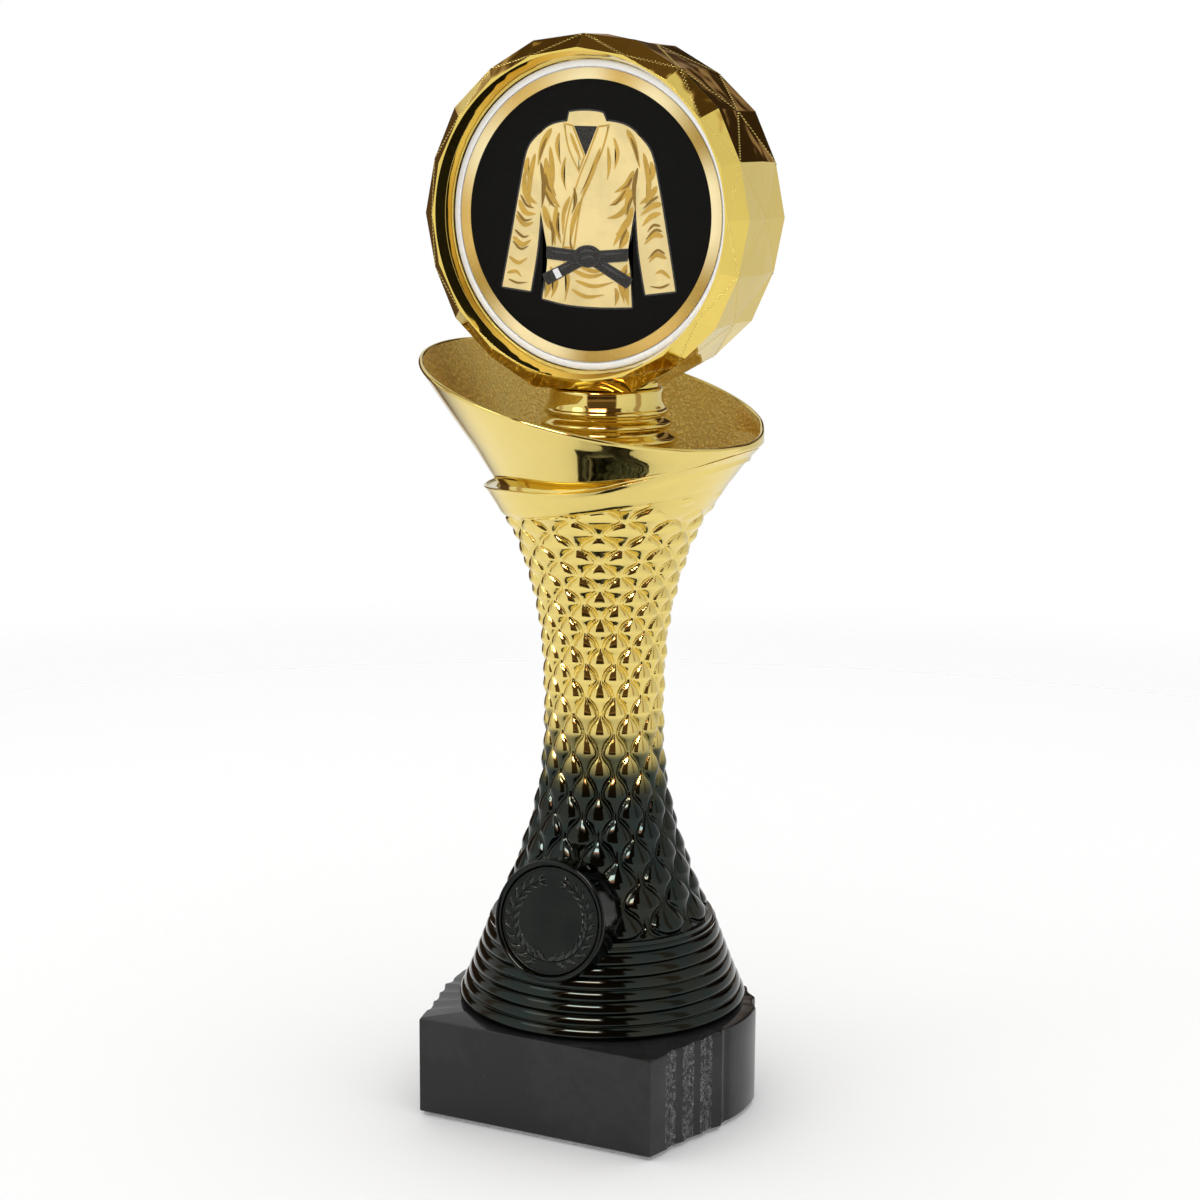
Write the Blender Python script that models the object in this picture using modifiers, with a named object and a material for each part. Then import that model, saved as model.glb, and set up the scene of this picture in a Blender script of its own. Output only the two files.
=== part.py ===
"""Cup trophy on a fluted marble base, with a turning round emblem holder.

Standalone Blender 4.5 script: metres, +Z up.  Origin: on the surface the
trophy stands on, at the axis of its tie rod.  The front faces -Y.

One M6 rod runs up the middle and clamps everything: marble base, hollow
moulded column, cup, stepped riser.  The round emblem holder screws on the
rod's top end with a captive nut, so it turns about the rod's axis.
"""
import math

import bmesh
import bpy
from mathutils import Matrix, Vector

MM = 0.001
GAP = 0.3                    # clearance between touching pieces

# ---- marble base -------------------------------------------------------
PAD_T = 0.7                  # foam pad thickness
BASE_Z0 = PAD_T + GAP        # underside of the marble
BASE_Z1 = 24.3               # top of the marble
BASE_FRONT_Y = -36.3         # flat front face
BASE_FRONT_HALF = 30.4       # half width of the front face
BASE_SIDE_HALF = 38.3        # half width at the widest place
BASE_BACK_DEPTH = 32.6       # half depth of the rounded back
BASE_CHAMFER = 0.5
BORE_R = 3.6                 # rod clearance hole in every clamped piece
CBORE_R = 11.0               # counterbore for washer and nut
CBORE_Z = 11.0               # its ceiling

# ---- tie rod and fasteners ---------------------------------------------
ROD_R = 2.95                 # M6
ROD_Z0, ROD_Z1 = 3.4, 186.0
WASHER_R, WASHER_T = 9.0, 1.2
NUT_AF, NUT_H, NUT_HOLE_R = 10.0, 5.0, 3.3

# ---- column -------------------------------------------------------------
COL_Z0 = BASE_Z1 + GAP
COL_WALL = 2.2
RING_COUNT, RING_PITCH, RING_Z0 = 7, 2.62, 26.3   # turned ridges of the foot
RING_DEPTH = 0.75
DECK_Z0, DECK_Z1 = 137.0, 142.2                   # deck that carries the cup
LIP_Z, LIP_SLOPE = 150.8, 0.03                    # collar lip: z = LIP_Z + slope * x

# ---- round medal boss on the column's front ----------------------------
MEDAL_C = Vector((0.0, -28.2, 50.6))
MEDAL_TILT = math.radians(11.7)
MEDAL_RIM_R = 14.2
MEDAL_R = 12.67
MEDAL_SEAT = 2.2             # depth of the pocket
MEDAL_T = 1.6

# ---- cup: tilted sections (z, x offset, radius, tilt in degrees) --------
CUP_SECTIONS = (
    (142.5, 0.0, 20.5, 0.0),
    (147.0, 0.0, 23.4, 1.5),
    (151.5, -0.2, 26.9, 4.0),
    (156.2, -0.5, 30.2, 6.6),
    (160.8, -1.1, 33.6, 9.0),
    (166.0, -2.0, 37.4, 12.0),
    (171.05, -2.86, 41.1, 14.2),
)
CUP_FALL = math.radians(-11.6)  # plan direction in which the tilted sections fall
CUP_WALL_TOP, CUP_WALL_LOW = 1.3, 2.6
CUP_FLOOR_Z = 149.0

# ---- riser (stepped neck) ------------------------------------------------
RISER_Z0, RISER_Z1 = CUP_FLOOR_Z + GAP, 172.9
RISER_TOP_R = 13.3
RISER_WALL = 2.2
RISER_RINGS = ((14.5, 167.4), (15.4, 164.4), (16.9, 160.8), (18.0, 157.6), (19.1, 154.2))

# ---- emblem holder -------------------------------------------------------
HOLD_Z = 212.4               # height of the holder's own axis (along Y)
HOLD_ROWS = ((-16.0, 37.4), (-12.6, 40.8), (-0.5, 40.5), (9.5, 40.0), (12.5, 37.0))
HOLD_N = 20                  # facets round the holder
HOLD_SEAT_Z = RISER_Z1 + GAP # flat it turns on
SEAT_R = 35.35               # pocket for the 70 mm insert
INSERT_R, INSERT_T = 35.0, 2.2
LABEL_Y = -9.8               # front of the printed disc
LABEL_T = 0.3
LABEL_R = 33.15
COVER_R, COVER_T = 36.0, 2.0

COLLECTION = "cup_trophy"


# ------------------------------------------------------------------ helpers
def clean_file():
    for obj in list(bpy.data.objects):
        bpy.data.objects.remove(obj, do_unlink=True)
    for coll in list(bpy.data.collections):
        bpy.data.collections.remove(coll)


def new_collection(name):
    coll = bpy.data.collections.new(name)
    bpy.context.scene.collection.children.link(coll)
    return coll


def material(name, colour, rough, metal=0.0, coat=0.0):
    mat = bpy.data.materials.new(name)
    mat.use_nodes = True
    bsdf = mat.node_tree.nodes["Principled BSDF"]
    bsdf.inputs["Base Color"].default_value = (*colour, 1.0)
    bsdf.inputs["Roughness"].default_value = rough
    bsdf.inputs["Metallic"].default_value = metal
    bsdf.inputs["Coat Weight"].default_value = coat
    return mat


def add_object(name, bm, coll, mat=None, smooth=None):
    bmesh.ops.recalc_face_normals(bm, faces=bm.faces)
    mesh = bpy.data.meshes.new(name)
    bm.to_mesh(mesh)
    bm.free()
    obj = bpy.data.objects.new(name, mesh)
    coll.objects.link(obj)
    if mat is not None:
        mesh.materials.append(mat)
    if smooth is not None:
        mesh.shade_smooth()
        mesh.set_sharp_from_angle(angle=math.radians(smooth))
    return obj


def cylinder_bm(radius, z0, z1, segs, r2=None):
    """A capped cylinder or cone along Z, in millimetres."""
    bm = bmesh.new()
    bmesh.ops.create_cone(
        bm, cap_ends=True, cap_tris=False, segments=segs,
        radius1=radius * MM, radius2=(radius if r2 is None else r2) * MM,
        depth=(z1 - z0) * MM)
    bmesh.ops.translate(bm, verts=bm.verts, vec=(0, 0, 0.5 * (z0 + z1) * MM))
    return bm


def turned(name, profile, segs, coll, mat=None, smooth=35):
    """A closed (r, z) profile in millimetres turned about Z with Screw.

    The profile runs down the outer side first, and back up the bore.
    """
    bm = bmesh.new()
    verts = [bm.verts.new((r * MM, 0.0, z * MM)) for r, z in profile]
    for a, b in zip(verts, verts[1:] + verts[:1]):
        bm.edges.new((a, b))
    mesh = bpy.data.meshes.new(name)
    bm.to_mesh(mesh)
    bm.free()
    obj = bpy.data.objects.new(name, mesh)
    coll.objects.link(obj)
    if mat is not None:
        mesh.materials.append(mat)
    screw = obj.modifiers.new("turn", "SCREW")
    screw.axis = 'Z'
    screw.angle = math.radians(360)
    screw.steps = segs
    screw.render_steps = segs
    screw.use_merge_vertices = True
    screw.merge_threshold = 0.00001
    screw.use_smooth_shade = True
    screw.use_normal_calculate = False
    return obj


def cut(target, cutter, operation='DIFFERENCE'):
    mod = target.modifiers.new(operation.lower() + "_" + cutter.name, 'BOOLEAN')
    mod.operation = operation
    mod.object = cutter
    mod.solver = 'EXACT'
    return mod


def hide(obj):
    obj.hide_render = True
    obj.display_type = 'WIRE'
    return obj


def lerp(a, b, t):
    return a + (b - a) * t


def interp(table, z):
    """Piecewise linear value of a ((z, v), ...) table."""
    if z <= table[0][0]:
        return table[0][1]
    for (za, va), (zb, vb) in zip(table, table[1:]):
        if z <= zb:
            return lerp(va, vb, (z - za) / (zb - za))
    return table[-1][1]


def loft(rings):
    """Closed solid through rings that have the same number of points."""
    bm = bmesh.new()
    rows = [[bm.verts.new(p * MM) for p in ring] for ring in rings]
    n = len(rows[0])
    for low, high in zip(rows, rows[1:]):
        for i in range(n):
            j = (i + 1) % n
            bm.faces.new((low[i], low[j], high[j], high[i]))
    bm.faces.new(list(reversed(rows[0])))
    bm.faces.new(rows[-1])
    return bm


# -------------------------------------------------------------- marble base
def base_outline():
    """Half of the base's plan, from the front corner round to the back.

    The side flares from the flat front face in four steps.  Each step ends
    in a ridge, with a shallow flute behind it.  Then comes a plain bulge,
    and a rounded back with more flutes.
    """
    pts = [(BASE_FRONT_HALF, BASE_FRONT_Y)]
    steps = 4
    y_end = -12.0
    flute = 0.55
    for i in range(steps):
        ta = i / steps
        tb = (i + 1) / steps
        ya, yb = lerp(BASE_FRONT_Y, y_end, ta), lerp(BASE_FRONT_Y, y_end, tb)

        def flare(y):
            t = (y - BASE_FRONT_Y) / (y_end - BASE_FRONT_Y)
            return BASE_FRONT_HALF + 7.0 * (0.85 * t + 0.15 * t * t)
        for k, dip in ((0.30, 0.8), (0.55, 1.0), (0.80, 0.45)):
            if i == 0:
                dip *= -0.25
            y = lerp(ya, yb, k)
            pts.append((flare(y) - flute * dip, y))
        pts.append((flare(yb), yb))
    pts.append((37.3, -9.0))
    for y in (-6.0, -2.0, 2.0, 6.0, 9.0):
        pts.append((BASE_SIDE_HALF - 0.0155 * y * y, y))
    flutes = 6
    a0 = math.asin(9.0 / BASE_BACK_DEPTH)
    for i in range(flutes):
        for k, dip in ((0.25, 0.7), (0.5, 1.0), (0.75, 0.7), (1.0, 0.0)):
            a = lerp(a0, math.pi / 2, (i + k) / flutes)
            scale = 1.0 - dip * 0.7 / 36.0
            pts.append((BASE_SIDE_HALF * scale * math.cos(a),
                        BASE_BACK_DEPTH * scale * math.sin(a)))
    pts[-1] = (0.0, BASE_BACK_DEPTH)
    return pts


def build_base(coll, cutters):
    half = base_outline()
    outline = half[:-1] + [half[-1]] + [(-x, y) for x, y in reversed(half[:-1])]
    bm = bmesh.new()
    verts = [bm.verts.new((x * MM, y * MM, BASE_Z0 * MM)) for x, y in outline]
    face = bm.faces.new(verts)
    res = bmesh.ops.extrude_face_region(bm, geom=[face])
    top = [g for g in res["geom"] if isinstance(g, bmesh.types.BMVert)]
    bmesh.ops.translate(bm, verts=top, vec=(0, 0, (BASE_Z1 - BASE_Z0) * MM))
    # only the top and bottom edges of the block are chamfered
    weight = bm.edges.layers.float.new("bevel_weight_edge")
    for e in bm.edges:
        if abs(e.verts[0].co.z - e.verts[1].co.z) < 1e-7:
            e[weight] = 1.0
    obj = add_object("marble_base", bm, coll,
                     material("black_marble", (0.022, 0.023, 0.022), 0.12, 0.0, 0.4), 30)
    bev = obj.modifiers.new("chamfer", "BEVEL")
    bev.limit_method = 'WEIGHT'
    bev.width = BASE_CHAMFER * MM
    bev.segments = 1
    bore = hide(add_object("cut_base_bore", cylinder_bm(BORE_R, -5, 40, 20), cutters))
    cbore = hide(add_object("cut_base_cbore", cylinder_bm(CBORE_R, -5, CBORE_Z, 32), cutters))
    cut(obj, bore)
    cut(obj, cbore)

    # the foam pad follows the plan, set in by a millimetre
    bm = bmesh.new()
    inset = 1.1
    ring = []
    for x, y in outline:
        r = math.hypot(x, y)
        ring.append((x * (r - inset) / r, y * (r - inset * 1.15) / r))
    ring = ring[::2]
    verts = [bm.verts.new((x * MM, y * MM, 0.0)) for x, y in ring]
    face = bm.faces.new(verts)
    res = bmesh.ops.extrude_face_region(bm, geom=[face])
    top = [g for g in res["geom"] if isinstance(g, bmesh.types.BMVert)]
    bmesh.ops.translate(bm, verts=top, vec=(0, 0, PAD_T * MM))
    add_object("base_pad", bm, coll, material("grey_foam", (0.30, 0.30, 0.31), 0.9), 30)


def build_fasteners(coll):
    steel = material("zinc_steel", (0.55, 0.55, 0.53), 0.35, 1.0)
    rod = add_object("tie_rod", cylinder_bm(ROD_R, ROD_Z0, ROD_Z1, 16), coll,
                     material("rod_steel", (0.52, 0.52, 0.50), 0.4, 1.0), 40)
    z = CBORE_Z - GAP
    turned("base_washer",
           [(NUT_HOLE_R, z), (WASHER_R, z), (WASHER_R, z - WASHER_T), (NUT_HOLE_R, z - WASHER_T)],
           28, coll, steel)
    for name, top in (("base_nut", z - WASHER_T - GAP), ("holder_nut", 184.0)):
        bm = cylinder_bm(NUT_AF / math.sqrt(3), top - NUT_H, top, 6)
        nut = add_object(name, bm, coll, material(name + "_steel", (0.56, 0.55, 0.52), 0.35, 1.0))
        hole = hide(add_object("cut_" + name, cylinder_bm(NUT_HOLE_R, top - NUT_H - 2, top + 2, 16),
                               bpy.data.collections["cutters"]))
        cut(nut, hole)
    return rod


# ------------------------------------------------------------------- column
COLUMN_R = ((44.0, 27.1), (50.0, 24.2), (56.0, 22.0), (62.0, 19.7), (68.0, 17.9),
            (74.0, 16.4), (81.0, 15.2), (90.0, 14.5), (100.0, 14.45), (110.0, 14.9),
            (117.0, 15.7), (124.0, 17.1), (131.0, 19.0), (138.0, 21.7), (144.0, 24.9),
            (149.0, 28.1), (154.0, 31.5))


def foot_r(z):
    """Mean radius of the ridged foot."""
    return interp(((26.0, 34.4), (32.0, 31.9), (38.0, 29.6), (44.0, 27.2)), z)


def build_column(coll, cutters):
    outer = [(r, z) for z, r in reversed(COLUMN_R)]
    for i in reversed(range(RING_COUNT)):
        zc = RING_Z0 + i * RING_PITCH
        if zc + 0.3 * RING_PITCH < 43.9:
            outer.append((foot_r(zc + 0.5 * RING_PITCH) - RING_DEPTH, zc + 0.5 * RING_PITCH))
            outer.append((foot_r(zc + 0.22 * RING_PITCH) + 0.15, zc + 0.22 * RING_PITCH))
            outer.append((foot_r(zc - 0.22 * RING_PITCH) + 0.15, zc - 0.22 * RING_PITCH))
    outer.append((31.2, RING_Z0 - 0.45 * RING_PITCH))
    outer.append((30.6, COL_Z0))
    inner = [(28.0, COL_Z0), (28.0, 29.0)]
    for z in (38.0, 56.0, 74.0, 92.0, 116.0, DECK_Z0):
        r = (foot_r(z) if z < 44 else interp(COLUMN_R, z)) - COL_WALL - 0.3
        inner.append((r, z))
    inner.append((BORE_R, DECK_Z0))
    inner.append((BORE_R, 154.0))
    mat = material("column_gold_black", (0.83, 0.62, 0.20), 0.12, 1.0)
    col = turned("column", outer + inner, 40, coll, mat)

    # medal boss: a short tilted drum, joined before the cavity is protected
    axis = Vector((0.0, -math.cos(MEDAL_TILT), math.sin(MEDAL_TILT)))
    rot = Vector((0, 0, 1)).rotation_difference(axis).to_matrix().to_4x4()
    place = Matrix.Translation(MEDAL_C * MM) @ rot
    bm = cylinder_bm(MEDAL_RIM_R, -9.0, 0.35, 40)
    bmesh.ops.transform(bm, matrix=place, verts=bm.verts)
    boss = hide(add_object("add_medal_boss", bm, cutters))
    cut(col, boss, 'UNION')
    bm = cylinder_bm(MEDAL_R + GAP, -MEDAL_SEAT, 6.0, 40)
    bmesh.ops.transform(bm, matrix=place, verts=bm.verts)
    pocket = hide(add_object("cut_medal_pocket", bm, cutters))
    cut(col, pocket)

    bm = cylinder_bm(MEDAL_R, -MEDAL_SEAT + GAP, -MEDAL_SEAT + GAP + MEDAL_T, 48)
    bmesh.ops.transform(bm, matrix=place, verts=bm.verts)
    add_object("medal_insert", bm, coll,
               material("black_medal", (0.04, 0.042, 0.04), 0.35), 35)

    # mouth for the cup, then the lip
    bm = loft(cup_rings(GAP, 36, extend=14.0))
    mouth = hide(add_object("cut_mouth", bm, cutters))
    cut(col, mouth)
    bm = bmesh.new()
    bmesh.ops.create_cube(bm, size=0.12)
    bmesh.ops.translate(bm, verts=bm.verts, vec=(0, 0, 0.06))
    tilt = -math.atan(LIP_SLOPE)
    bmesh.ops.transform(bm, matrix=Matrix.Translation((0, 0, LIP_Z * MM)) @
                        Matrix.Rotation(tilt, 4, 'Y'), verts=bm.verts)
    lip = hide(add_object("cut_lip", bm, cutters))
    cut(col, lip)


# ---------------------------------------------------------------------- cup
def cup_point(x, r, tilt, z, a):
    """Point at plan angle a of a circle of radius r, tipped down towards CUP_FALL."""
    pu, pv = r * math.cos(a - CUP_FALL), r * math.sin(a - CUP_FALL)
    c, s = math.cos(CUP_FALL), math.sin(CUP_FALL)
    pc = pu * math.cos(tilt)
    return Vector((x + pc * c - pv * s, 0.5 * x + pc * s + pv * c, z - pu * math.sin(tilt)))


def cup_rings(offset, n, extend=0.0, low=None):
    rings = []
    secs = list(CUP_SECTIONS)
    if extend:
        z, x, r, t = secs[-1]
        secs.append((z + extend, x - 1.0, r + 3.0, t))
    for k, (z, x, r, t) in enumerate(secs):
        ang = math.radians(t)
        rr = r + offset
        zc = z - (offset if k == 0 and offset > 0 else 0.0)
        ring = []
        for i in range(n):
            a = 2 * math.pi * i / n
            ring.append(cup_point(x, rr, ang, zc, a))
        rings.append(ring)
    return rings


def build_cup(coll, cutters):
    mat = material("cup_gold", (0.90, 0.70, 0.26), 0.12, 1.0)
    n = 44
    cup = add_object("cup", loft(cup_rings(0.0, n)), coll, mat, 40)
    # the bowl: the same sections, smaller by the wall, from the floor up
    rings = []
    secs = [s for s in CUP_SECTIONS if s[0] > CUP_FLOOR_Z]
    z, x, r, t = CUP_SECTIONS[1]
    low = [Vector(((22.0) * math.cos(2 * math.pi * i / n), (22.0) * math.sin(2 * math.pi * i / n),
                   CUP_FLOOR_Z)) for i in range(n)]
    rings.append(low)
    for z, x, r, t in secs:
        f = (z - CUP_FLOOR_Z) / (CUP_SECTIONS[-1][0] - CUP_FLOOR_Z)
        rr = r - lerp(CUP_WALL_LOW, CUP_WALL_TOP, f)
        ang = math.radians(t)
        ring = []
        for i in range(n):
            a = 2 * math.pi * i / n
            up = Vector((math.sin(ang) * math.cos(CUP_FALL), math.sin(ang) * math.sin(CUP_FALL),
                         math.cos(ang))) * 0.9
            ring.append(cup_point(x, rr, ang, z, a) + up)
        rings.append(ring)
    top = [v + Vector((0, 0, 6.0)) for v in rings[-1]]
    rings.append(top)
    bowl = hide(add_object("cut_bowl", loft(rings), cutters))
    cut(cup, bowl)
    hole = hide(add_object("cut_cup_bore", cylinder_bm(BORE_R, 138, 152, 20), cutters))
    cut(cup, hole)


# -------------------------------------------------------------------- riser
def build_riser(coll):
    prof = [(RISER_TOP_R - 0.8, RISER_Z1), (RISER_TOP_R, RISER_Z1 - 0.7), (13.5, 169.6)]
    for k, (r, z) in enumerate(RISER_RINGS):
        if k:
            prof.append((r - 0.75, z + 1.25))
        prof += [(r, z + 0.75), (r + 0.1, z - 0.2), (r - 0.6, z - 1.3)]
    prof += [(19.9, RISER_Z0 + 0.3), (19.6, RISER_Z0)]
    prof += [(16.8, RISER_Z0), (11.5, 164.0), (10.2, 169.6), (BORE_R, 169.6), (BORE_R, RISER_Z1)]
    turned("riser", prof, 36, coll, material("riser_gold", (0.92, 0.72, 0.28), 0.08, 1.0))


# ------------------------------------------------------------ emblem holder
def along_y(bm):
    """Turn a solid made along Z so that its +Z end faces +Y, at the holder's axis."""
    bmesh.ops.rotate(bm, verts=bm.verts, cent=(0, 0, 0),
                     matrix=Matrix.Rotation(math.radians(-90), 3, 'X'))
    bmesh.ops.translate(bm, verts=bm.verts, vec=(0, 0, HOLD_Z * MM))
    return bm


def build_holder(coll, cutters, parent):
    gold = material("holder_gold", (0.91, 0.71, 0.27), 0.09, 1.0)
    rings = []
    for k, (y, r) in enumerate(HOLD_ROWS):
        ring = []
        for i in range(HOLD_N):
            a = 2 * math.pi * i / HOLD_N
            rr = r
            if 0 < k < len(HOLD_ROWS) - 1:
                rr = r + (0.25 if (i + k) % 2 else -0.25)
            ring.append(Vector((rr * math.cos(a), y, HOLD_Z + rr * math.sin(a))))
        rings.append(ring)
    bm = bmesh.new()
    rows = [[bm.verts.new(p * MM) for p in ring] for ring in rings]
    for k, (low, high) in enumerate(zip(rows, rows[1:])):
        for i in range(HOLD_N):
            j = (i + 1) % HOLD_N
            # the diagonals form diamonds two facets wide
            if (i + k) % 2:
                bm.faces.new((low[i], low[j], high[i]))
                bm.faces.new((low[j], high[j], high[i]))
            else:
                bm.faces.new((low[i], low[j], high[j]))
                bm.faces.new((low[i], high[j], high[i]))
    bm.faces.new(list(reversed(rows[0])))
    bm.faces.new(rows[-1])
    holder = add_object("emblem_holder", bm, coll, gold)

    # hollow from the back, then the inner boss for the rod and its nut
    bm = along_y(cylinder_bm(34.4, -5.2, 20.0, 48))
    cut(holder, hide(add_object("cut_holder_hollow", bm, cutters)))
    boss = cylinder_bm(12.4, HOLD_SEAT_Z, 177.0, 32)
    cut(holder, hide(add_object("add_holder_foot", boss, cutters)), 'UNION')
    boss = cylinder_bm(8.6, 175.0, 185.0, 32)
    cut(holder, hide(add_object("add_holder_boss", boss, cutters)), 'UNION')

    # front: polished bevel, then the pocket of the 70 mm insert
    bm = along_y(cylinder_bm(36.6, -16.2, -9.9, 60, r2=SEAT_R))
    cut(holder, hide(add_object("cut_front_bevel", bm, cutters)))
    bm = along_y(cylinder_bm(SEAT_R, -10.0, LABEL_Y + LABEL_T + INSERT_T + 2 * GAP, 60))
    cut(holder, hide(add_object("cut_front_seat", bm, cutters)))
    # back: seat of the cover
    bm = along_y(cylinder_bm(COVER_R + GAP, 9.0, 20.0, 60))
    cut(holder, hide(add_object("cut_back_seat", bm, cutters)))
    # flat under the holder, rod hole, nut pocket
    bm = bmesh.new()
    bmesh.ops.create_cube(bm, size=0.1)
    bmesh.ops.translate(bm, verts=bm.verts, vec=(0, 0, HOLD_SEAT_Z * MM - 0.05))
    cut(holder, hide(add_object("cut_holder_flat", bm, cutters)))
    cut(holder, hide(add_object("cut_holder_bore", cylinder_bm(BORE_R, 170, 190, 20), cutters)))
    bm = cylinder_bm(NUT_AF / math.sqrt(3) + 0.4, 184.0 - NUT_H - GAP, 190, 6)
    cut(holder, hide(add_object("cut_nut_pocket", bm, cutters)))

    bm = along_y(cylinder_bm(COVER_R, 9.0 + GAP, 9.0 + GAP + COVER_T, 60))
    cover = add_object("holder_back_cover", bm, coll,
                       material("cover_gold", (0.90, 0.70, 0.27), 0.2, 1.0), 35)

    # white insert: a disc with a low border round the printed label
    yf = LABEL_Y + LABEL_T + GAP             # face the label lies on
    prof = [(INSERT_R, yf), (INSERT_R, yf + INSERT_T), (0.0, yf + INSERT_T)]
    bm = along_y(cylinder_bm(INSERT_R, LABEL_Y, yf + INSERT_T, 64))
    insert = add_object("insert_disc", bm, coll, material("white_plastic", (0.88, 0.89, 0.90), 0.3), 35)
    bm = along_y(cylinder_bm(LABEL_R + GAP, LABEL_Y - 1, yf, 64))
    cut(insert, hide(add_object("cut_insert_face", bm, cutters)))
    bm = along_y(cylinder_bm(LABEL_R, LABEL_Y, LABEL_Y + LABEL_T, 64))
    label = add_object("emblem_label", bm, coll, material("black_print", (0.018, 0.018, 0.017), 0.5), 35)

    for obj in (holder, cover, insert, label, bpy.data.objects["holder_nut"]):
        obj.parent = parent
        obj.matrix_parent_inverse = parent.matrix_world.inverted()


def main():
    clean_file()
    coll = new_collection(COLLECTION)
    cutters = new_collection("cutters")
    build_base(coll, cutters)
    build_fasteners(coll)
    build_column(coll, cutters)
    build_cup(coll, cutters)
    build_riser(coll)
    # the holder turns about the rod, so its pieces hang on an empty there
    pivot = bpy.data.objects.new("swivel_axis", None)
    pivot.location = (0, 0, HOLD_SEAT_Z * MM)
    coll.objects.link(pivot)
    bpy.context.view_layer.update()
    build_holder(coll, cutters, pivot)
    bpy.context.view_layer.update()


main()
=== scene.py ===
"""Looks of the cup trophy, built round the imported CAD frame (metres, +Z up, front faces -Y)."""
import math

import bmesh
import bpy
import numpy as np
from mathutils import Matrix, Vector


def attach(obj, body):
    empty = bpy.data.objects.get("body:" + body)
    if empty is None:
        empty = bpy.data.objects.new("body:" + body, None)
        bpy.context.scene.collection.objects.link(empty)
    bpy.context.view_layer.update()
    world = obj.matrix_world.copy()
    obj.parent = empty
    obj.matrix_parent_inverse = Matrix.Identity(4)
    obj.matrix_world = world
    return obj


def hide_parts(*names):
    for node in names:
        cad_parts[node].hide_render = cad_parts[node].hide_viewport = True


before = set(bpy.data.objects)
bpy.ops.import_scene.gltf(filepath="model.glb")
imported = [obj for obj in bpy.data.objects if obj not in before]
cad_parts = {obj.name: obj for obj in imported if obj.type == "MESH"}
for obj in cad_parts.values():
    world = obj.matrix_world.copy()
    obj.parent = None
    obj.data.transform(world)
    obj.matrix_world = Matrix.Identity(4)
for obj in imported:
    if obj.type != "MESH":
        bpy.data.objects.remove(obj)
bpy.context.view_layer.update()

MM = 0.001
STAND, HEAD = "stand", "emblem_head"
HOLD_Z = 212.4
SEAT_Z = 173.2

# ================================================================ helpers


def link(obj):
    bpy.context.scene.collection.objects.link(obj)
    return obj


def mesh_object(name, verts, faces, mats, face_mat=None, smooth=True, sharp=None):
    """verts in millimetres."""
    me = bpy.data.meshes.new(name)
    v = np.asarray(verts, dtype=float) * MM
    me.from_pydata(v.tolist(), [], faces if isinstance(faces, list) else faces.tolist())
    for m in (mats if isinstance(mats, (list, tuple)) else [mats]):
        me.materials.append(m)
    if face_mat is not None:
        me.polygons.foreach_set("material_index", np.asarray(face_mat, dtype=np.int32))
    if smooth:
        me.shade_smooth()
        if sharp is not None:
            me.set_sharp_from_angle(angle=math.radians(sharp))
    me.update()
    return link(bpy.data.objects.new(name, me))


def grid_faces(rows, cols, wrap_rows=False, wrap_cols=True):
    r = np.arange(rows if wrap_rows else rows - 1)
    c = np.arange(cols if wrap_cols else cols - 1)
    R, C = np.meshgrid(r, c, indexing="ij")
    R2, C2 = (R + 1) % rows, (C + 1) % cols
    f = np.stack([R * cols + C, R2 * cols + C, R2 * cols + C2, R * cols + C2], -1)
    return f.reshape(-1, 4)


def fix_out(obj):
    bm = bmesh.new()
    bm.from_mesh(obj.data)
    bmesh.ops.recalc_face_normals(bm, faces=bm.faces)
    bm.to_mesh(obj.data)
    bm.free()
    return obj


def lathe(name, profile, n, mats, seg_mat=None, closed=True, sharp=30, axis=None, origin=(0, 0, 0)):
    """A (r, z) profile turned about Z, or about another axis through origin."""
    prof = np.array(profile, dtype=float)
    a = np.linspace(0, 2 * np.pi, n, endpoint=False)
    P = np.stack([prof[:, 0, None] * np.cos(a), prof[:, 0, None] * np.sin(a),
                  np.repeat(prof[:, 1, None], n, 1)], -1)
    f = grid_faces(len(prof), n, wrap_rows=closed)
    fm = None
    if seg_mat is not None:
        fm = np.repeat(np.asarray(seg_mat), n)
    V = P.reshape(-1, 3)
    if axis is not None:
        rot = np.array(Vector((0, 0, 1)).rotation_difference(Vector(axis)).to_matrix())
        V = V @ rot.T + np.array(origin)
    # rows that sit on the axis collapse to one point
    obj = mesh_object(name, V, f, mats, fm, True, sharp)
    bm = bmesh.new()
    bm.from_mesh(obj.data)
    bmesh.ops.remove_doubles(bm, verts=bm.verts, dist=1e-7)
    bmesh.ops.recalc_face_normals(bm, faces=bm.faces)
    bm.to_mesh(obj.data)
    bm.free()
    obj.data.set_sharp_from_angle(angle=math.radians(sharp))
    return obj


def rounded(profile, radius, steps=4):
    """Rounds every inner corner of an open (r, z) profile."""
    pts = [np.array(p, dtype=float) for p in profile]
    out = [pts[0]]
    for a, b, c in zip(pts, pts[1:], pts[2:]):
        ab, cb = a - b, c - b
        la, lc = np.linalg.norm(ab), np.linalg.norm(cb)
        if la < 1e-6 or lc < 1e-6:
            continue
        d = min(radius, 0.45 * la, 0.45 * lc)
        p, q = b + ab / la * d, b + cb / lc * d
        for k in range(steps + 1):
            t = k / steps
            out.append((1 - t) ** 2 * p + 2 * t * (1 - t) * b + t * t * q)
    out.append(pts[-1])
    return [tuple(p) for p in out]


def smoothstep(x, a, b):
    t = np.clip((np.asarray(x, dtype=float) - a) / (b - a), 0, 1)
    return t * t * (3 - 2 * t)


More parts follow.
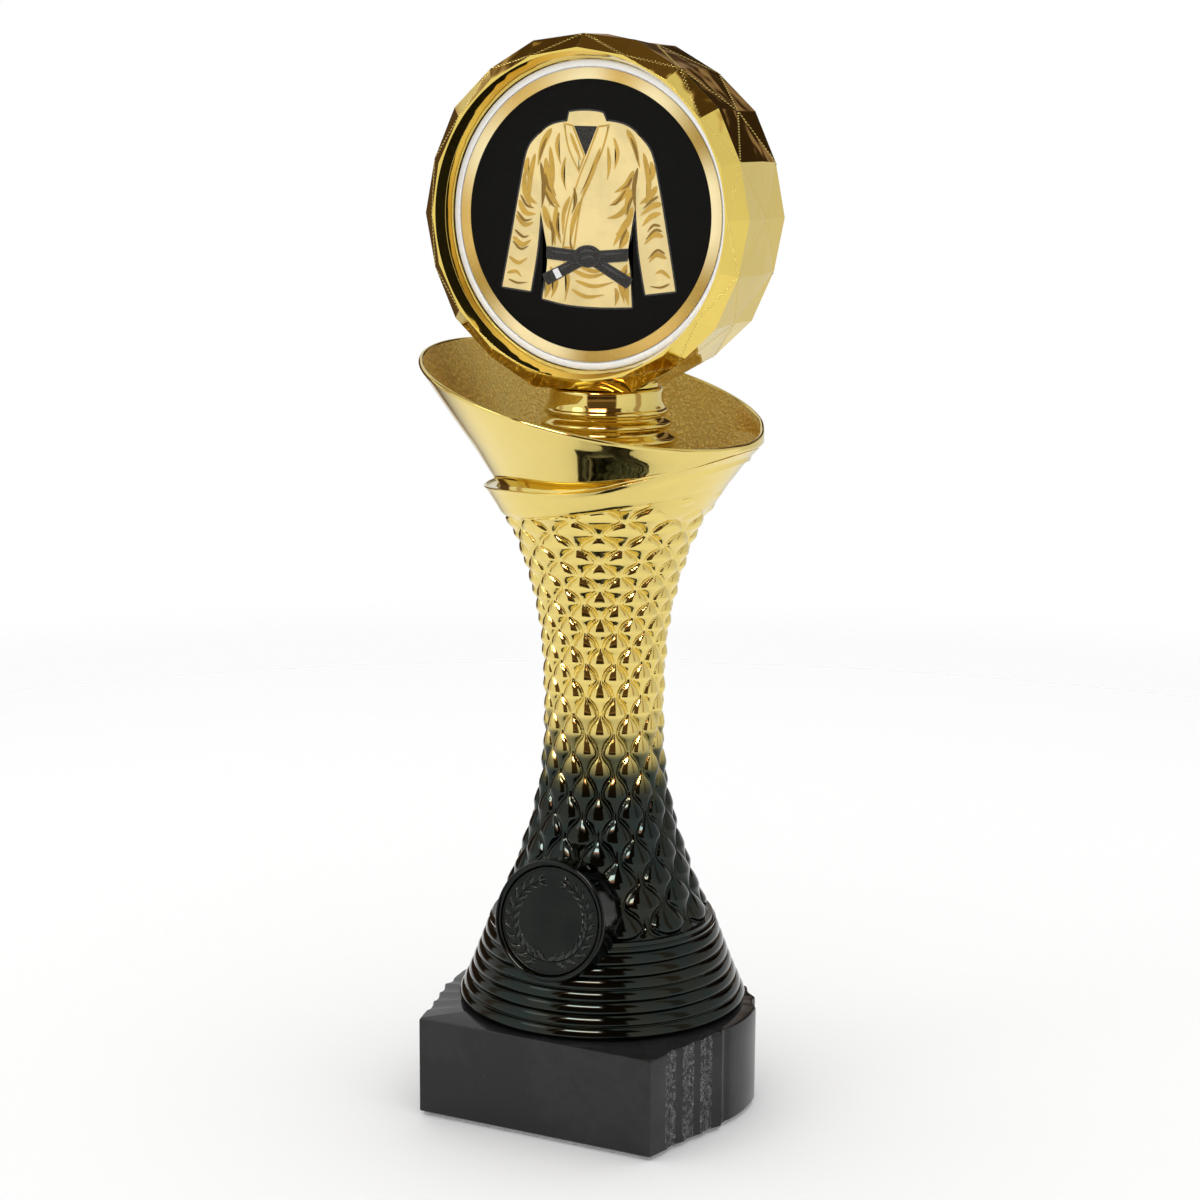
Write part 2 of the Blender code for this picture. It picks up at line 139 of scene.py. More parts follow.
def periodic(phi, table):
    """Smooth periodic value of a (degrees, value) table."""
    t = sorted(table)
    xs = np.array([p[0] for p in t], dtype=float)
    ys = np.array([p[1] for p in t], dtype=float)
    xs = np.concatenate([xs[-2:] - 360, xs, xs[:2] + 360])
    ys = np.concatenate([ys[-2:], ys, ys[:2]])
    m = np.gradient(ys, xs)
    x = (np.asarray(phi) + 180) % 360 - 180
    i = np.clip(np.searchsorted(xs, x) - 1, 0, len(xs) - 2)
    h = xs[i + 1] - xs[i]
    s = (x - xs[i]) / h
    return ((2 * s ** 3 - 3 * s ** 2 + 1) * ys[i] + (s ** 3 - 2 * s ** 2 + s) * h * m[i]
            + (-2 * s ** 3 + 3 * s ** 2) * ys[i + 1] + (s ** 3 - s ** 2) * h * m[i + 1])


def spline(x, table):
    """Smooth value of a (x, value) table."""
    t = sorted(table)
    xs = np.array([p[0] for p in t], dtype=float)
    ys = np.array([p[1] for p in t], dtype=float)
    m = np.gradient(ys, xs)
    x = np.clip(np.asarray(x, dtype=float), xs[0], xs[-1])
    i = np.clip(np.searchsorted(xs, x) - 1, 0, len(xs) - 2)
    h = xs[i + 1] - xs[i]
    s = (x - xs[i]) / h
    return ((2 * s ** 3 - 3 * s ** 2 + 1) * ys[i] + (s ** 3 - 2 * s ** 2 + s) * h * m[i]
            + (-2 * s ** 3 + 3 * s ** 2) * ys[i + 1] + (s ** 3 - s ** 2) * h * m[i + 1])


def attribute(obj, name, values):
    att = obj.data.attributes.new(name, 'FLOAT', 'POINT')
    att.data.foreach_set("value", np.asarray(values, dtype=np.float32))


# ============================================================== materials
GOLD = (0.82, 0.65, 0.205)


class Nodes:
    def __init__(self, name, colour, rough, metal=0.0, **kw):
        self.mat = bpy.data.materials.new(name)
        self.mat.use_nodes = True
        self.nt = self.mat.node_tree
        self.p = self.nt.nodes["Principled BSDF"]
        self.p.inputs["Base Color"].default_value = (*colour, 1)
        self.p.inputs["Roughness"].default_value = rough
        self.p.inputs["Metallic"].default_value = metal
        for k, v in kw.items():
            self.p.inputs[k.replace("_", " ")].default_value = v
        self.tc = self.nt.nodes.new("ShaderNodeTexCoord")

    def new(self, kind, **kw):
        n = self.nt.nodes.new(kind)
        for k, v in kw.items():
            if hasattr(n, k):
                setattr(n, k, v)
            else:
                n.inputs[k].default_value = v
        return n

    def wire(self, a, b):
        self.nt.links.new(a, b)

    def coords(self, scale=(1, 1, 1), loc=(0, 0, 0), rot=(0, 0, 0)):
        m = self.new("ShaderNodeMapping")
        m.inputs["Scale"].default_value = scale
        m.inputs["Location"].default_value = loc
        m.inputs["Rotation"].default_value = rot
        self.wire(self.tc.outputs["Object"], m.inputs["Vector"])
        return m.outputs["Vector"]

    def noise(self, scale, detail=4, rough=0.55, vec=None):
        n = self.new("ShaderNodeTexNoise")
        n.inputs["Scale"].default_value = scale
        n.inputs["Detail"].default_value = detail
        n.inputs["Roughness"].default_value = rough
        self.wire(vec or self.tc.outputs["Object"], n.inputs["Vector"])
        return n.outputs["Fac"]

    def voronoi(self, scale, feature='F1', vec=None, smooth=None, out="Distance"):
        n = self.new("ShaderNodeTexVoronoi")
        n.feature = feature
        n.inputs["Scale"].default_value = scale
        if smooth is not None and "Smoothness" in n.inputs:
            n.inputs["Smoothness"].default_value = smooth
        self.wire(vec or self.tc.outputs["Object"], n.inputs["Vector"])
        return n.outputs[out]

    def ramp(self, fac, stops, interp='LINEAR'):
        n = self.new("ShaderNodeValToRGB")
        n.color_ramp.interpolation = interp
        els = n.color_ramp.elements
        while len(els) < len(stops):
            els.new(0.5)
        for e, (pos, col) in zip(els, stops):
            e.position = pos
            e.color = (*col, 1) if len(col) == 3 else col
        self.wire(fac, n.inputs["Fac"])
        return n.outputs["Color"]

    def map(self, fac, a, b, c, d, smooth=False):
        n = self.new("ShaderNodeMapRange")
        if smooth:
            n.interpolation_type = 'SMOOTHSTEP'
        for k, v in zip(("From Min", "From Max", "To Min", "To Max"), (a, b, c, d)):
            n.inputs[k].default_value = v
        self.wire(fac, n.inputs["Value"])
        return n.outputs["Result"]

    def math(self, op, a, b=None):
        n = self.new("ShaderNodeMath")
        n.operation = op
        for i, v in enumerate((a, b)):
            if v is None:
                continue
            if isinstance(v, (int, float)):
                n.inputs[i].default_value = v
            else:
                self.wire(v, n.inputs[i])
        return n.outputs[0]

    def mix(self, fac, a, b):
        n = self.new("ShaderNodeMix")
        n.data_type = 'RGBA'
        fs = [s for s in n.inputs if s.name == "Factor" and s.type == 'VALUE'][0]
        ca = [s for s in n.inputs if s.name == "A" and s.type == 'RGBA'][0]
        cb = [s for s in n.inputs if s.name == "B" and s.type == 'RGBA'][0]
        if isinstance(fac, (int, float)):
            fs.default_value = fac
        else:
            self.wire(fac, fs)
        for s, v in ((ca, a), (cb, b)):
            if isinstance(v, tuple):
                s.default_value = (*v, 1)
            else:
                self.wire(v, s)
        return [s for s in n.outputs if s.type == 'RGBA'][0]

    def attr(self, name):
        n = self.new("ShaderNodeAttribute")
        n.attribute_name = name
        return n.outputs["Fac"]

    def bump(self, height, strength, dist, prev=None):
        n = self.new("ShaderNodeBump")
        n.inputs["Strength"].default_value = strength
        n.inputs["Distance"].default_value = dist
        self.wire(height, n.inputs["Height"])
        if prev is not None:
            self.wire(prev, n.inputs["Normal"])
        return n.outputs["Normal"]

    def set(self, socket, out):
        self.wire(out, self.p.inputs[socket])


def mat_gold(name, rough=0.055, tint=GOLD, wave=0.00004, wscale=160):
    """Mirror vacuum metallising over moulded plastic: faint flow waviness and haze."""
    n = Nodes(name, tint, rough, 1.0)
    flow = n.noise(55, 3)
    n.set("Base Color", n.mix(n.map(flow, 0.3, 0.7, 0, 1), tuple(c * 0.965 for c in tint),
                              tuple(min(1, c * 1.03) for c in tint)))
    haze = n.noise(420, 5, 0.6)
    n.set("Roughness", n.map(haze, 0.35, 0.8, rough * 0.6, rough * 1.9))
    n.set("Normal", n.bump(n.noise(wscale, 2), 0.5, wave))
    return n.mat


def mat_hammered():
    """Inside of the cup: satin gold with a fine pebbled grain."""
    n = Nodes("gold_pebbled", (0.86, 0.60, 0.17), 0.5, 1.0)
    vec = n.coords()
    cell = n.voronoi(1250, 'SMOOTH_F1', vec, 0.25)
    fine = n.noise(2600, 3, 0.6, vec)
    tone = n.noise(60, 3, 0.5, vec)
    # painted shade: the hollows between the pebbles are painted a darker gold where the grain's bump is low
    pit_shade = n.map(cell, 0.25, 0.62, 0.0, 1.0)
    base = n.mix(n.map(tone, 0.3, 0.7, 0, 1), (0.98, 0.75, 0.24), (1.0, 0.84, 0.32))
    n.set("Base Color", n.mix(n.math('MULTIPLY', pit_shade, 0.5), base, (0.45, 0.25, 0.03)))
    n.set("Roughness", n.map(fine, 0.3, 0.7, 0.40, 0.58))
    b = n.bump(n.map(cell, 0.0, 0.6, 1, 0), 0.9, 0.00034)
    n.set("Normal", n.bump(fine, 0.3, 0.00004, b))
    return n.mat


def mat_column():
    """Gold plating that fades to gloss black down the column, driven by the mesh's fade value."""
    n = Nodes("gold_to_black_plating", GOLD, 0.06, 1.0)
    cloud = n.noise(240, 4, 0.6)
    f = n.math('ADD', n.attr("fade"), n.math('MULTIPLY', n.math('SUBTRACT', cloud, 0.5), 0.14))
    col = n.ramp(f, [(0.0, (0.028, 0.033, 0.031)), (0.16, (0.036, 0.043, 0.037)),
                     (0.34, (0.074, 0.074, 0.042)), (0.52, (0.20, 0.175, 0.070)),
                     (0.74, (0.56, 0.455, 0.155)), (1.0, GOLD)])
    # the dark coat turns a little teal or bronze from place to place
    tone = n.mix(n.map(n.noise(150, 3, 0.55), 0.38, 0.62, 0, 1), (0.90, 1.03, 1.02), (1.14, 1.02, 0.86))
    dark = n.new("ShaderNodeMix")
    dark.data_type = 'RGBA'
    dark.blend_type = 'MULTIPLY'
    n.wire(n.map(f, 0.1, 0.5, 1.0, 0.0), [q for q in dark.inputs if q.name == "Factor" and q.type == 'VALUE'][0])
    n.wire(col, [q for q in dark.inputs if q.name == "A" and q.type == 'RGBA'][0])
    n.wire(tone, [q for q in dark.inputs if q.name == "B" and q.type == 'RGBA'][0])
    n.set("Base Color", [q for q in dark.outputs if q.type == 'RGBA'][0])
    haze = n.noise(500, 5, 0.6)
    n.set("Roughness", n.map(haze, 0.35, 0.8, 0.035, 0.11))
    n.set("Normal", n.bump(n.noise(210, 2), 0.3, 0.00004))
    return n.mat


def mat_black_gloss(name="black_plating", rough=0.09, sheen_lift=1.0):
    # sheen_lift above 1 paints the black lighter, as a painted sheen
    n = Nodes(name, (0.020 * sheen_lift, 0.023 * sheen_lift, 0.021 * sheen_lift), rough, 1.0)
    tone = n.noise(120, 4)
    n.set("Base Color", n.mix(n.map(tone, 0.35, 0.65, 0, 1), tuple(c * sheen_lift for c in (0.0175, 0.0210, 0.0200)),
                              tuple(c * sheen_lift for c in (0.027, 0.029, 0.025))))
    n.set("Roughness", n.map(n.noise(480, 5, 0.6), 0.35, 0.8, rough * 0.6, rough * 1.7))
    n.set("Normal", n.bump(n.noise(200, 2), 0.3, 0.00004))
    return n.mat


def mat_marble(name="black_marble", frosted=False):
    n = Nodes(name, (0.013, 0.013, 0.0135), 0.12, 0.0)
    n.p.inputs["Specular IOR Level"].default_value = 0.30
    vec = n.coords()
    vein = n.noise(34, 8, 0.62, vec)
    speck = n.voronoi(620, 'F1', vec)
    fine = n.noise(1500, 4, 0.6, vec)
    col = n.ramp(vein, [(0.0, (0.0095, 0.0095, 0.010)), (0.50, (0.0130, 0.0129, 0.0132)),
                        (0.585, (0.0185, 0.018, 0.0185)), (0.64, (0.0135, 0.0133, 0.0135)),
                        (1.0, (0.0105, 0.0105, 0.011))])
    spots = n.map(speck, 0.0, 0.10, 1, 0)
    keep = n.map(n.noise(210, 2, 0.5, vec), 0.54, 0.62, 0, 1)
    col = n.mix(n.math('MULTIPLY', n.math('MULTIPLY', spots, keep), 0.7), col, (0.11, 0.11, 0.105))
    if frosted:
        # blasted strip: dark pits with pale rims, like coarse lace; the grey of the frosting is the stone's own, the
        # pale rims on the raised edges are painted glints
        lace = n.voronoi(1900, 'DISTANCE_TO_EDGE', vec)
        grit = n.voronoi(2300, 'F1', vec)
        rim = n.math('MULTIPLY', n.map(lace, 0.02, 0.16, 1, 0), n.map(n.noise(900, 3, 0.6, vec), 0.44, 0.58, 0, 1))
        col = n.mix(n.map(fine, 0.42, 0.62, 0.20, 0.8), col, (0.042, 0.041, 0.042))
        # painted glints: pale grey laid on the raised rims of the lace
        col = n.mix(n.math('MULTIPLY', rim, 0.8), col, (0.28, 0.28, 0.28))
        n.set("Roughness", n.map(grit, 0.1, 0.5, 0.34, 0.66))
        b = n.bump(n.map(lace, 0.0, 0.2, 1, 0), 0.8, 0.00018)
        n.set("Normal", n.bump(fine, 0.5, 0.00010, b))
    else:
        n.set("Roughness", n.map(fine, 0.35, 0.75, 0.07, 0.17))
        n.set("Normal", n.bump(n.noise(90, 2, 0.5, vec), 0.10, 0.00008))
    n.set("Base Color", col)
    return n.mat


def mat_steel(name, rough=0.32, thread=False):
    n = Nodes(name, (0.56, 0.56, 0.54), rough, 1.0)
    n.set("Base Color", n.mix(n.map(n.noise(260, 5), 0.35, 0.7, 0, 1), (0.46, 0.465, 0.45), (0.63, 0.63, 0.60)))
    n.set("Roughness", n.map(n.noise(900, 4), 0.3, 0.75, rough * 0.7, rough * 1.5))
    if thread:
        w = n.new("ShaderNodeTexWave")
        w.bands_direction = 'Z'
        w.inputs["Scale"].default_value = 1000 / (2 * math.pi) * 2 * math.pi / 20
        n.wire(n.coords(), w.inputs["Vector"])
        n.set("Normal", n.bump(w.outputs["Fac"], 0.7, 0.0004))
    else:
        n.set("Normal", n.bump(n.noise(1200, 3), 0.3, 0.00004))
    return n.mat


def mat_foam():
    n = Nodes("grey_foam", (0.33, 0.33, 0.34), 0.92, 0.0)
    cell = n.voronoi(2600, 'F1')
    # painted shade: the low middles of the foam's cells are painted darker than their raised walls
    n.set("Base Color", n.mix(n.map(cell, 0.1, 0.55, 0, 1), (0.23, 0.23, 0.24), (0.40, 0.40, 0.41)))
    n.set("Roughness", n.map(n.noise(700, 3), 0.3, 0.7, 0.85, 0.98))
    n.set("Normal", n.bump(cell, 0.7, 0.00025))
    return n.mat


def mat_white():
    n = Nodes("white_moulding", (0.86, 0.88, 0.90), 0.26, 0.0, Coat_Weight=0.15)
    n.set("Base Color", n.mix(n.map(n.noise(120, 4), 0.35, 0.7, 0, 1), (0.89, 0.91, 0.93), (0.93, 0.945, 0.955)))
    n.set("Roughness", n.map(n.noise(800, 4), 0.3, 0.7, 0.2, 0.34))
    n.set("Normal", n.bump(n.noise(600, 3), 0.2, 0.00003))
    return n.mat


def mat_print_black():
    n = Nodes("matt_black_print", (0.0058, 0.0058, 0.0052), 0.7, 0.0)
    n.p.inputs["Specular IOR Level"].default_value = 0.06
    n.set("Base Color", n.mix(n.map(n.noise(900, 4), 0.35, 0.7, 0, 1), (0.0052, 0.0052, 0.0047), (0.0066, 0.0066, 0.0060)))
    n.set("Roughness", n.map(n.noise(1500, 4), 0.3, 0.7, 0.62, 0.78))
    n.set("Normal", n.bump(n.noise(2600, 3), 0.2, 0.00002))
    return n.mat


def mat_print_ring():
    """Printed gold ring with the soft light and dark rays of a brushed disc."""
    n = Nodes("printed_gold_ring", (0.72, 0.50, 0.16), 0.42, 0.0)
    n.p.inputs["Specular IOR Level"].default_value = 0.35
    vec = n.coords(loc=(0, 0, 0), rot=(math.radians(90), 0, 0))
    m2 = n.new("ShaderNodeMapping")
    m2.inputs["Location"].default_value = (0, HOLD_Z * MM, 0)
    n.wire(vec, m2.inputs["Vector"])
    g = n.new("ShaderNodeTexGradient")
    g.gradient_type = 'RADIAL'
    n.wire(m2.outputs["Vector"], g.inputs["Vector"])
    pale, mid, deep = (0.93, 0.79, 0.44), (0.68, 0.44, 0.095), (0.41, 0.25, 0.022)
    stops = []
    for deg, c in ((0, mid), (28, pale), (58, mid), (90, pale), (104, mid), (122, pale), (148, deep), (168, pale),
                   (184, pale), (210, deep), (236, mid), (268, deep), (288, pale), (302, pale), (330, deep), (350, mid)):
        stops.append((deg / 360.0, c))
    stops.append((1.0, mid))
    col = n.ramp(g.outputs["Fac"], stops, 'EASE')
    brush = n.noise(2400, 4, 0.6)
    n.set("Base Color", n.mix(n.map(brush, 0.3, 0.7, 0.0, 0.10), col, (0.9, 0.78, 0.5)))
    n.set("Roughness", n.map(brush, 0.3, 0.7, 0.34, 0.5))
    n.set("Normal", n.bump(brush, 0.15, 0.00002))
    return n.mat


def mat_print(name, colour, dark=0.82, scale=260, shine=0.3):
    """A printed tone with slight ink mottling and soft cloth-like shading."""
    n = Nodes(name, colour, 0.5, 0.0)
    n.p.inputs["Specular IOR Level"].default_value = shine
    cloud = n.noise(scale, 3, 0.5)
    ink = n.noise(3200, 3, 0.6)
    c = n.mix(n.map(cloud, 0.35, 0.65, 0, 1, True), tuple(v * dark for v in colour), colour)
    n.set("Base Color", n.mix(n.map(ink, 0.3, 0.7, 0.0, 0.06), c, (1.0, 0.93, 0.78)))
    n.set("Roughness", n.map(ink, 0.3, 0.7, 0.44, 0.56))
    n.set("Normal", n.bump(ink, 0.15, 0.00002))
    return n.mat


M = dict(
    gold=mat_gold("mirror_gold"),
    gold_cup=mat_gold("mirror_gold_cup", 0.05),
    gold_head=mat_gold("mirror_gold_holder", 0.045, (0.83, 0.63, 0.15), 0.0007, 85),
    gold_bead=mat_gold("mirror_gold_beading", 0.1),
    gold_back=mat_gold("satin_gold_cover", 0.2),
    pebbled=mat_hammered(),
    column=mat_column(),
    black=mat_black_gloss(),
    medal=mat_black_gloss("satin_black_medal", 0.30),
    # the leaves are the disc's black plating painted twice as light: painted sheen on the wreath
    leaf=mat_black_gloss("polished_black_leaf_painted_sheen", 0.2, 2.0),
    marble=mat_marble(),
    frosted=mat_marble("sandblasted_marble", True),
    steel=mat_steel("zinc_plated_steel"),
    rod=mat_steel("zinc_plated_thread", 0.36, True),
    foam=mat_foam(),
    white=mat_white(),
    print_black=mat_print_black(),
    print_ring=mat_print_ring(),
    cloth=mat_print("print_cloth_light", (0.80, 0.635, 0.285), 0.86, 130, 0.12),
    cloth_mid=mat_print("print_cloth_mid", (0.55, 0.33, 0.045), 0.80, 200, 0.10),
    cloth_deep=mat_print("print_cloth_deep", (0.24, 0.13, 0.010), 0.85, 200, 0.08),
    cloth_edge=mat_print("print_outline", (0.008, 0.009, 0.014), 0.85, 200),
    belt=mat_print("print_belt", (0.0075, 0.0078, 0.0095), 0.8, 300, 0.08),
    belt_hi=mat_print("print_belt_light", (0.040, 0.041, 0.048), 0.8, 300, 0.08),
    belt_tip=mat_print("print_belt_tip", (0.80, 0.80, 0.82), 0.9, 300),
)


def done(obj, body, slot, *nodes):
    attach(obj, body)
    if nodes:
        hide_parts(*nodes)
    return obj


# ============================================================ marble base
BASE_Z0, BASE_Z1 = 1.0, 24.3
FRONT_Y, FRONT_HALF, SIDE_HALF, BACK_DEPTH = -36.3, 30.4, 38.3, 32.6


def base_outline():
    """Half plan from the front corner to the back: points and which of them start a sandblasted strip."""
    pts, rough = [], []

    def add(x, y, r):
        pts.append((x, y))
        rough.append(r)

    y_end, steps, flute = -12.0, 4, 0.62

    def flare(y):
        t = (y - FRONT_Y) / (y_end - FRONT_Y)
        return FRONT_HALF + 7.0 * (0.85 * t + 0.15 * t * t)

    add(FRONT_HALF, FRONT_Y, False)
    for i in range(steps):
        ya = FRONT_Y + (y_end - FRONT_Y) * i / steps
        yb = FRONT_Y + (y_end - FRONT_Y) * (i + 1) / steps
        m = 14
        for k in range(1, m + 1):
            t = k / m
            y = ya + (yb - ya) * t
            if i == 0:
                x = flare(y) + 0.10 * math.sin(math.pi * t)
            else:
                # a hollow that is deepest just behind the ridge, then a full flank
                x = flare(y) - flute * math.sin(math.pi * t ** 0.72) ** 1.25
            add(x, y, bool((i > 0 and t < 0.62) or (i < 3 and t > 0.87)))
    # the last hollow, polished and narrow
    for k in range(1, 9):
        t = k / 8
        y = -12.0 + 4.2 * t
        add(37.4 - 0.5 * t - 0.75 * math.sin(math.pi * t) ** 1.3 + 0.55 * t, y, False)
    for k in range(1, 17):
        y = -7.8 + 15.6 * k / 16
        add(SIDE_HALF - 0.0135 * y * y, y, False)
    flutes, m = 6, 14
    y0 = 7.8
    a0 = math.asin(y0 / BACK_DEPTH)
    x0 = SIDE_HALF - 0.0135 * y0 * y0
    fix = x0 / (SIDE_HALF * math.cos(a0))
    for i in range(flutes):
        for k in range(1, m + 1):
            t = k / m
            a = a0 + (math.pi / 2 - a0) * (i + t) / flutes
            s = 1 - 0.85 / 36 * math.sin(math.pi * t) ** 1.2
            g = fix + (1 - fix) * min(1, (i + t) / 2)
            add(SIDE_HALF * s * g * math.cos(a), BACK_DEPTH * s * math.sin(a), 0.1 < t < 0.9)
    pts[-1] = (0.0, BACK_DEPTH)
    return pts, rough


def build_base():
    half, rough = base_outline()
    # the front face gets its own points, so that its edges can carry small chips
    front = [(-FRONT_HALF + 2 * FRONT_HALF * k / 60, FRONT_Y) for k in range(1, 60)]
    right = half
    left = [(-x, y) for x, y in reversed(half[:-1])]
    loop = right + left + front
    # flag i belongs to the side between points i and i + 1
    fr = rough[1:]                                # right side, segment by segment
    fl = list(reversed(rough[1:]))
    flags = fr + fl + [False] * (len(loop) - len(fr) - len(fl))
    O = np.array(loop)
    n = len(O)
    nxt, prv = np.roll(O, -1, 0), np.roll(O, 1, 0)
    tang = nxt - prv
    tang /= np.linalg.norm(tang, axis=1)[:, None]
    inward = np.stack([-tang[:, 1], tang[:, 0]], 1)     # counter-clockwise loop
    rng = np.random.default_rng(5)
    chip = np.zeros(n)
    for c in rng.integers(0, n, 26):
        chip[(c + np.arange(-1, 2)) % n] += rng.uniform(0.02, 0.12) * np.array([0.4, 1, 0.5])
    # the front right corner is knocked
    corner = 0
    for k, d in ((0, 0.55), (1, 0.3), (-1, 0.35), (-2, 0.15)):
        chip[(corner + k) % n] += d

    def ring(inset, z, extra=None):
        p = O + inward * (inset if extra is None else (inset + extra)[:, None] if np.ndim(extra) else inset)
        return np.c_[p, np.full(n, z)]

    rows = []
    ch = 0.55
    rows.append(ring(ch, BASE_Z1))
    rows.append(ring(ch * 0.42, BASE_Z1 - ch * 0.16, chip * 0.6))
    rows.append(ring(ch * 0.12, BASE_Z1 - ch * 0.5, chip * 0.4))
    rows.append(ring(0.0, BASE_Z1 - ch))
    for z in (18.5, 12.6, 7.0):
        rows.append(ring(0.0, z))
    rows.append(ring(0.0, BASE_Z0 + ch))
    rows.append(ring(ch * 0.12, BASE_Z0 + ch * 0.5, chip * 0.3))
    rows.append(ring(ch * 0.42, BASE_Z0 + ch * 0.16))
    rows.append(ring(ch, BASE_Z0))
    ang = np.arctan2(O[:, 1], O[:, 0])

    def circle(r, z):
        return np.c_[r * np.cos(ang), r * np.sin(ang), np.full(n, z)]
    rows += [circle(11.0, BASE_Z0), circle(11.0, 11.0), circle(3.6, 11.0), circle(3.6, BASE_Z1)]
    mid = 0.5 * (rows[0] + circle(3.6, BASE_Z1))
    rows.append(mid)
    P = np.concatenate(rows)
    f = grid_faces(len(rows), n, wrap_rows=True)
    fm = np.zeros((len(rows), n), dtype=int)
    for i, flag in enumerate(flags):
        if flag:
            fm[1:9, i] = 1
    obj = mesh_object("marble_block", P, f, [M["marble"], M["frosted"]], fm.reshape(-1), True, 24)
    fix_out(obj)
    obj.data.set_sharp_from_angle(angle=math.radians(24))
    return done(obj, STAND, "marble", "marble_base")


# ================================================================= column
COL_R = [(44.0, 27.3), (50.0, 24.2), (56.0, 22.0), (62.0, 19.75), (68.0, 17.9), (74.0, 16.4), (80.0, 15.3),
         (86.0, 14.72), (92.0, 14.45), (98.0, 14.45), (104.0, 14.6), (110.0, 14.9), (116.0, 15.5), (122.0, 16.6),
         (128.0, 18.1), (134.0, 20.05), (140.0, 22.5), (144.0, 24.9), (146.0, 26.1), (149.0, 28.1), (153.3, 31.0),
         (156.1, 33.2), (158.2, 35.1), (160.4, 37.2)]
FOOT_R = [(24.0, 35.2), (26.0, 34.5), (32.0, 31.9), (38.0, 29.6), (44.0, 27.3)]
LIP_Z = [(-180, 152.0), (-150, 150.6), (-120, 149.9), (-90, 149.7), (-63, 149.8), (-33, 150.6), (-18, 151.0),
         (-2, 151.15), (12.5, 151.75), (25.6, 152.9), (36, 154.5), (47.7, 156.2), (60, 157.5), (70.3, 158.7),
         (80.8, 159.5), (92, 159.9), (103, 159.5), (114, 158.7), (124, 157.5), (137, 156.0), (148, 154.5),
         (160, 153.2)]
SCALE_Z = [144.9, 137.9, 131.0, 124.4, 117.2, 109.6, 101.6, 92.9, 83.2, 73.4, 63.4, 53.3, 43.2]
COLUMNS = 24
BAND_A, BAND_B, BAND_C = 0.156, 0.042, 146.72
FIT = np.polyfit(SCALE_Z, np.arange(len(SCALE_Z)), 5)


def scale_height(phi, z):
    """Relief of the scales: chains of drops like turned beads, with wavy channels between the chains.

    phi in degrees from the front; the widest place of a drop is at SCALE_Z on every other column.
    """
    v = np.polyval(FIT, z)
    u = (phi - 7.5) / (360.0 / COLUMNS)
    k0 = np.floor(u)
    pitch = spline(z, COL_R) * math.radians(360.0 / COLUMNS)
    A = 0.64 + 0.04 * smoothstep(z, 108, 128) + 0.05 * smoothstep(-z, -80, -62)
    h = np.zeros(np.broadcast(u, v).shape)
    half = 0.24 / pitch                                 # half the channel, in pitches
    slim = 0.50 - 0.17 * smoothstep(z, 110, 138) - 0.17 * smoothstep(-z, -86, -58)
    for k in (k0, k0 + 1):
        odd = np.mod(k, 2)
        off = np.where(odd > 0.5, 0.0, 0.5)
        th = 2 * np.pi * (v - off)
        f = (np.cos(th) + 0.07 * np.sin(3 * th)) / 1.03
        W = 0.5 + 0.5 * A * f
        # keep the channel the same width where it slants
        df = (-np.sin(th) + 0.21 * np.cos(3 * th)) / 1.03
        slant = 0.5 * A * df * 2 * np.pi * np.polyval(np.polyder(FIT), z) * pitch
        g = half * np.sqrt(1 + slant * slant)
        w = np.maximum(W - g, 0.015)
        x = np.abs(u - k) / w
        prof = np.clip(1 - np.clip(x, 0, 1) ** 2, 0, 1) ** 0.58
        h = np.maximum(h, np.where(x < 1, prof * 0.92 * np.maximum(w, 0) ** 0.78 * pitch * slim, 0))
    return h, pitch


def column_radius(phi, z):
    h, pitch = scale_height(phi, z)
    slim = 0.50 - 0.17 * smoothstep(z, 110, 138) - 0.17 * smoothstep(-z, -86, -58)
    top = 0.88 * pitch * slim
    return spline(z, COL_R) - 0.80 * top + 0.06 + h


CUP_FALL = math.radians(-11.6)


def cup_point(s, a, outer=True, grow=0.0):
    """Point of the cup's outer wall. s from 0 at the foot to 1 at the rim, a is the angle from +X."""
    key = np.array(CUP_S)
    t = np.linspace(0, 1, len(key))
    val = [spline(s, list(zip(t, key[:, i]))) for i in range(4)]
    z, x, r, tilt = val
    r = r + grow
    ang = np.radians(tilt)
    pu, pv = r * np.cos(a - CUP_FALL), r * np.sin(a - CUP_FALL)
    c, q = math.cos(CUP_FALL), math.sin(CUP_FALL)
    pc = pu * np.cos(ang)
    P = np.stack([x + pc * c - pv * q, 0.5 * x + pc * q + pv * c, z - pu * np.sin(ang)], -1)
    # on the low side the wall swells until it is flush with the column's flare
    phi = (np.degrees(a) + 90 + 180) % 360 - 180
    wgt = smoothstep(phi, 30, 66) * smoothstep(-phi, -154, -118)
    rr = np.hypot(P[..., 0], P[..., 1])
    want = spline(np.clip(P[..., 2], 134, 160.4), COL_R) - 0.12
    out = wgt * np.maximum(0, want - rr) * smoothstep(P[..., 2], 140, 146)
    k = (rr + out) / rr
    P[..., 0] *= k
    P[..., 1] *= k
    return P


CUP_S = ((142.5, 0.0, 20.5, 0.0), (147.0, 0.0, 23.4, 1.5), (151.5, -0.2, 26.9, 4.0), (156.2, -0.45, 30.3, 6.6),
         (160.8, -0.95, 33.9, 9.0), (166.0, -1.9, 37.7, 12.0), (171.05, -2.86, 41.1, 14.2))


def ring_piece(name, P, fade, normals, mat, sharp=None):
    """Closed ring of rows; its normals come from the whole column, so that joints don't show."""
    rows, n = P.shape[:2]
    obj = mesh_object(name, P.reshape(-1, 3), grid_faces(rows, n, wrap_rows=True), [mat], None, True, sharp)
    if fade is not None:
        attribute(obj, "fade", fade.reshape(-1))
    if normals is not None:
        obj.data.normals_split_custom_set_from_vertices(normals.reshape(-1, 3).tolist())
    return done(obj, STAND, "plated_column", "column")


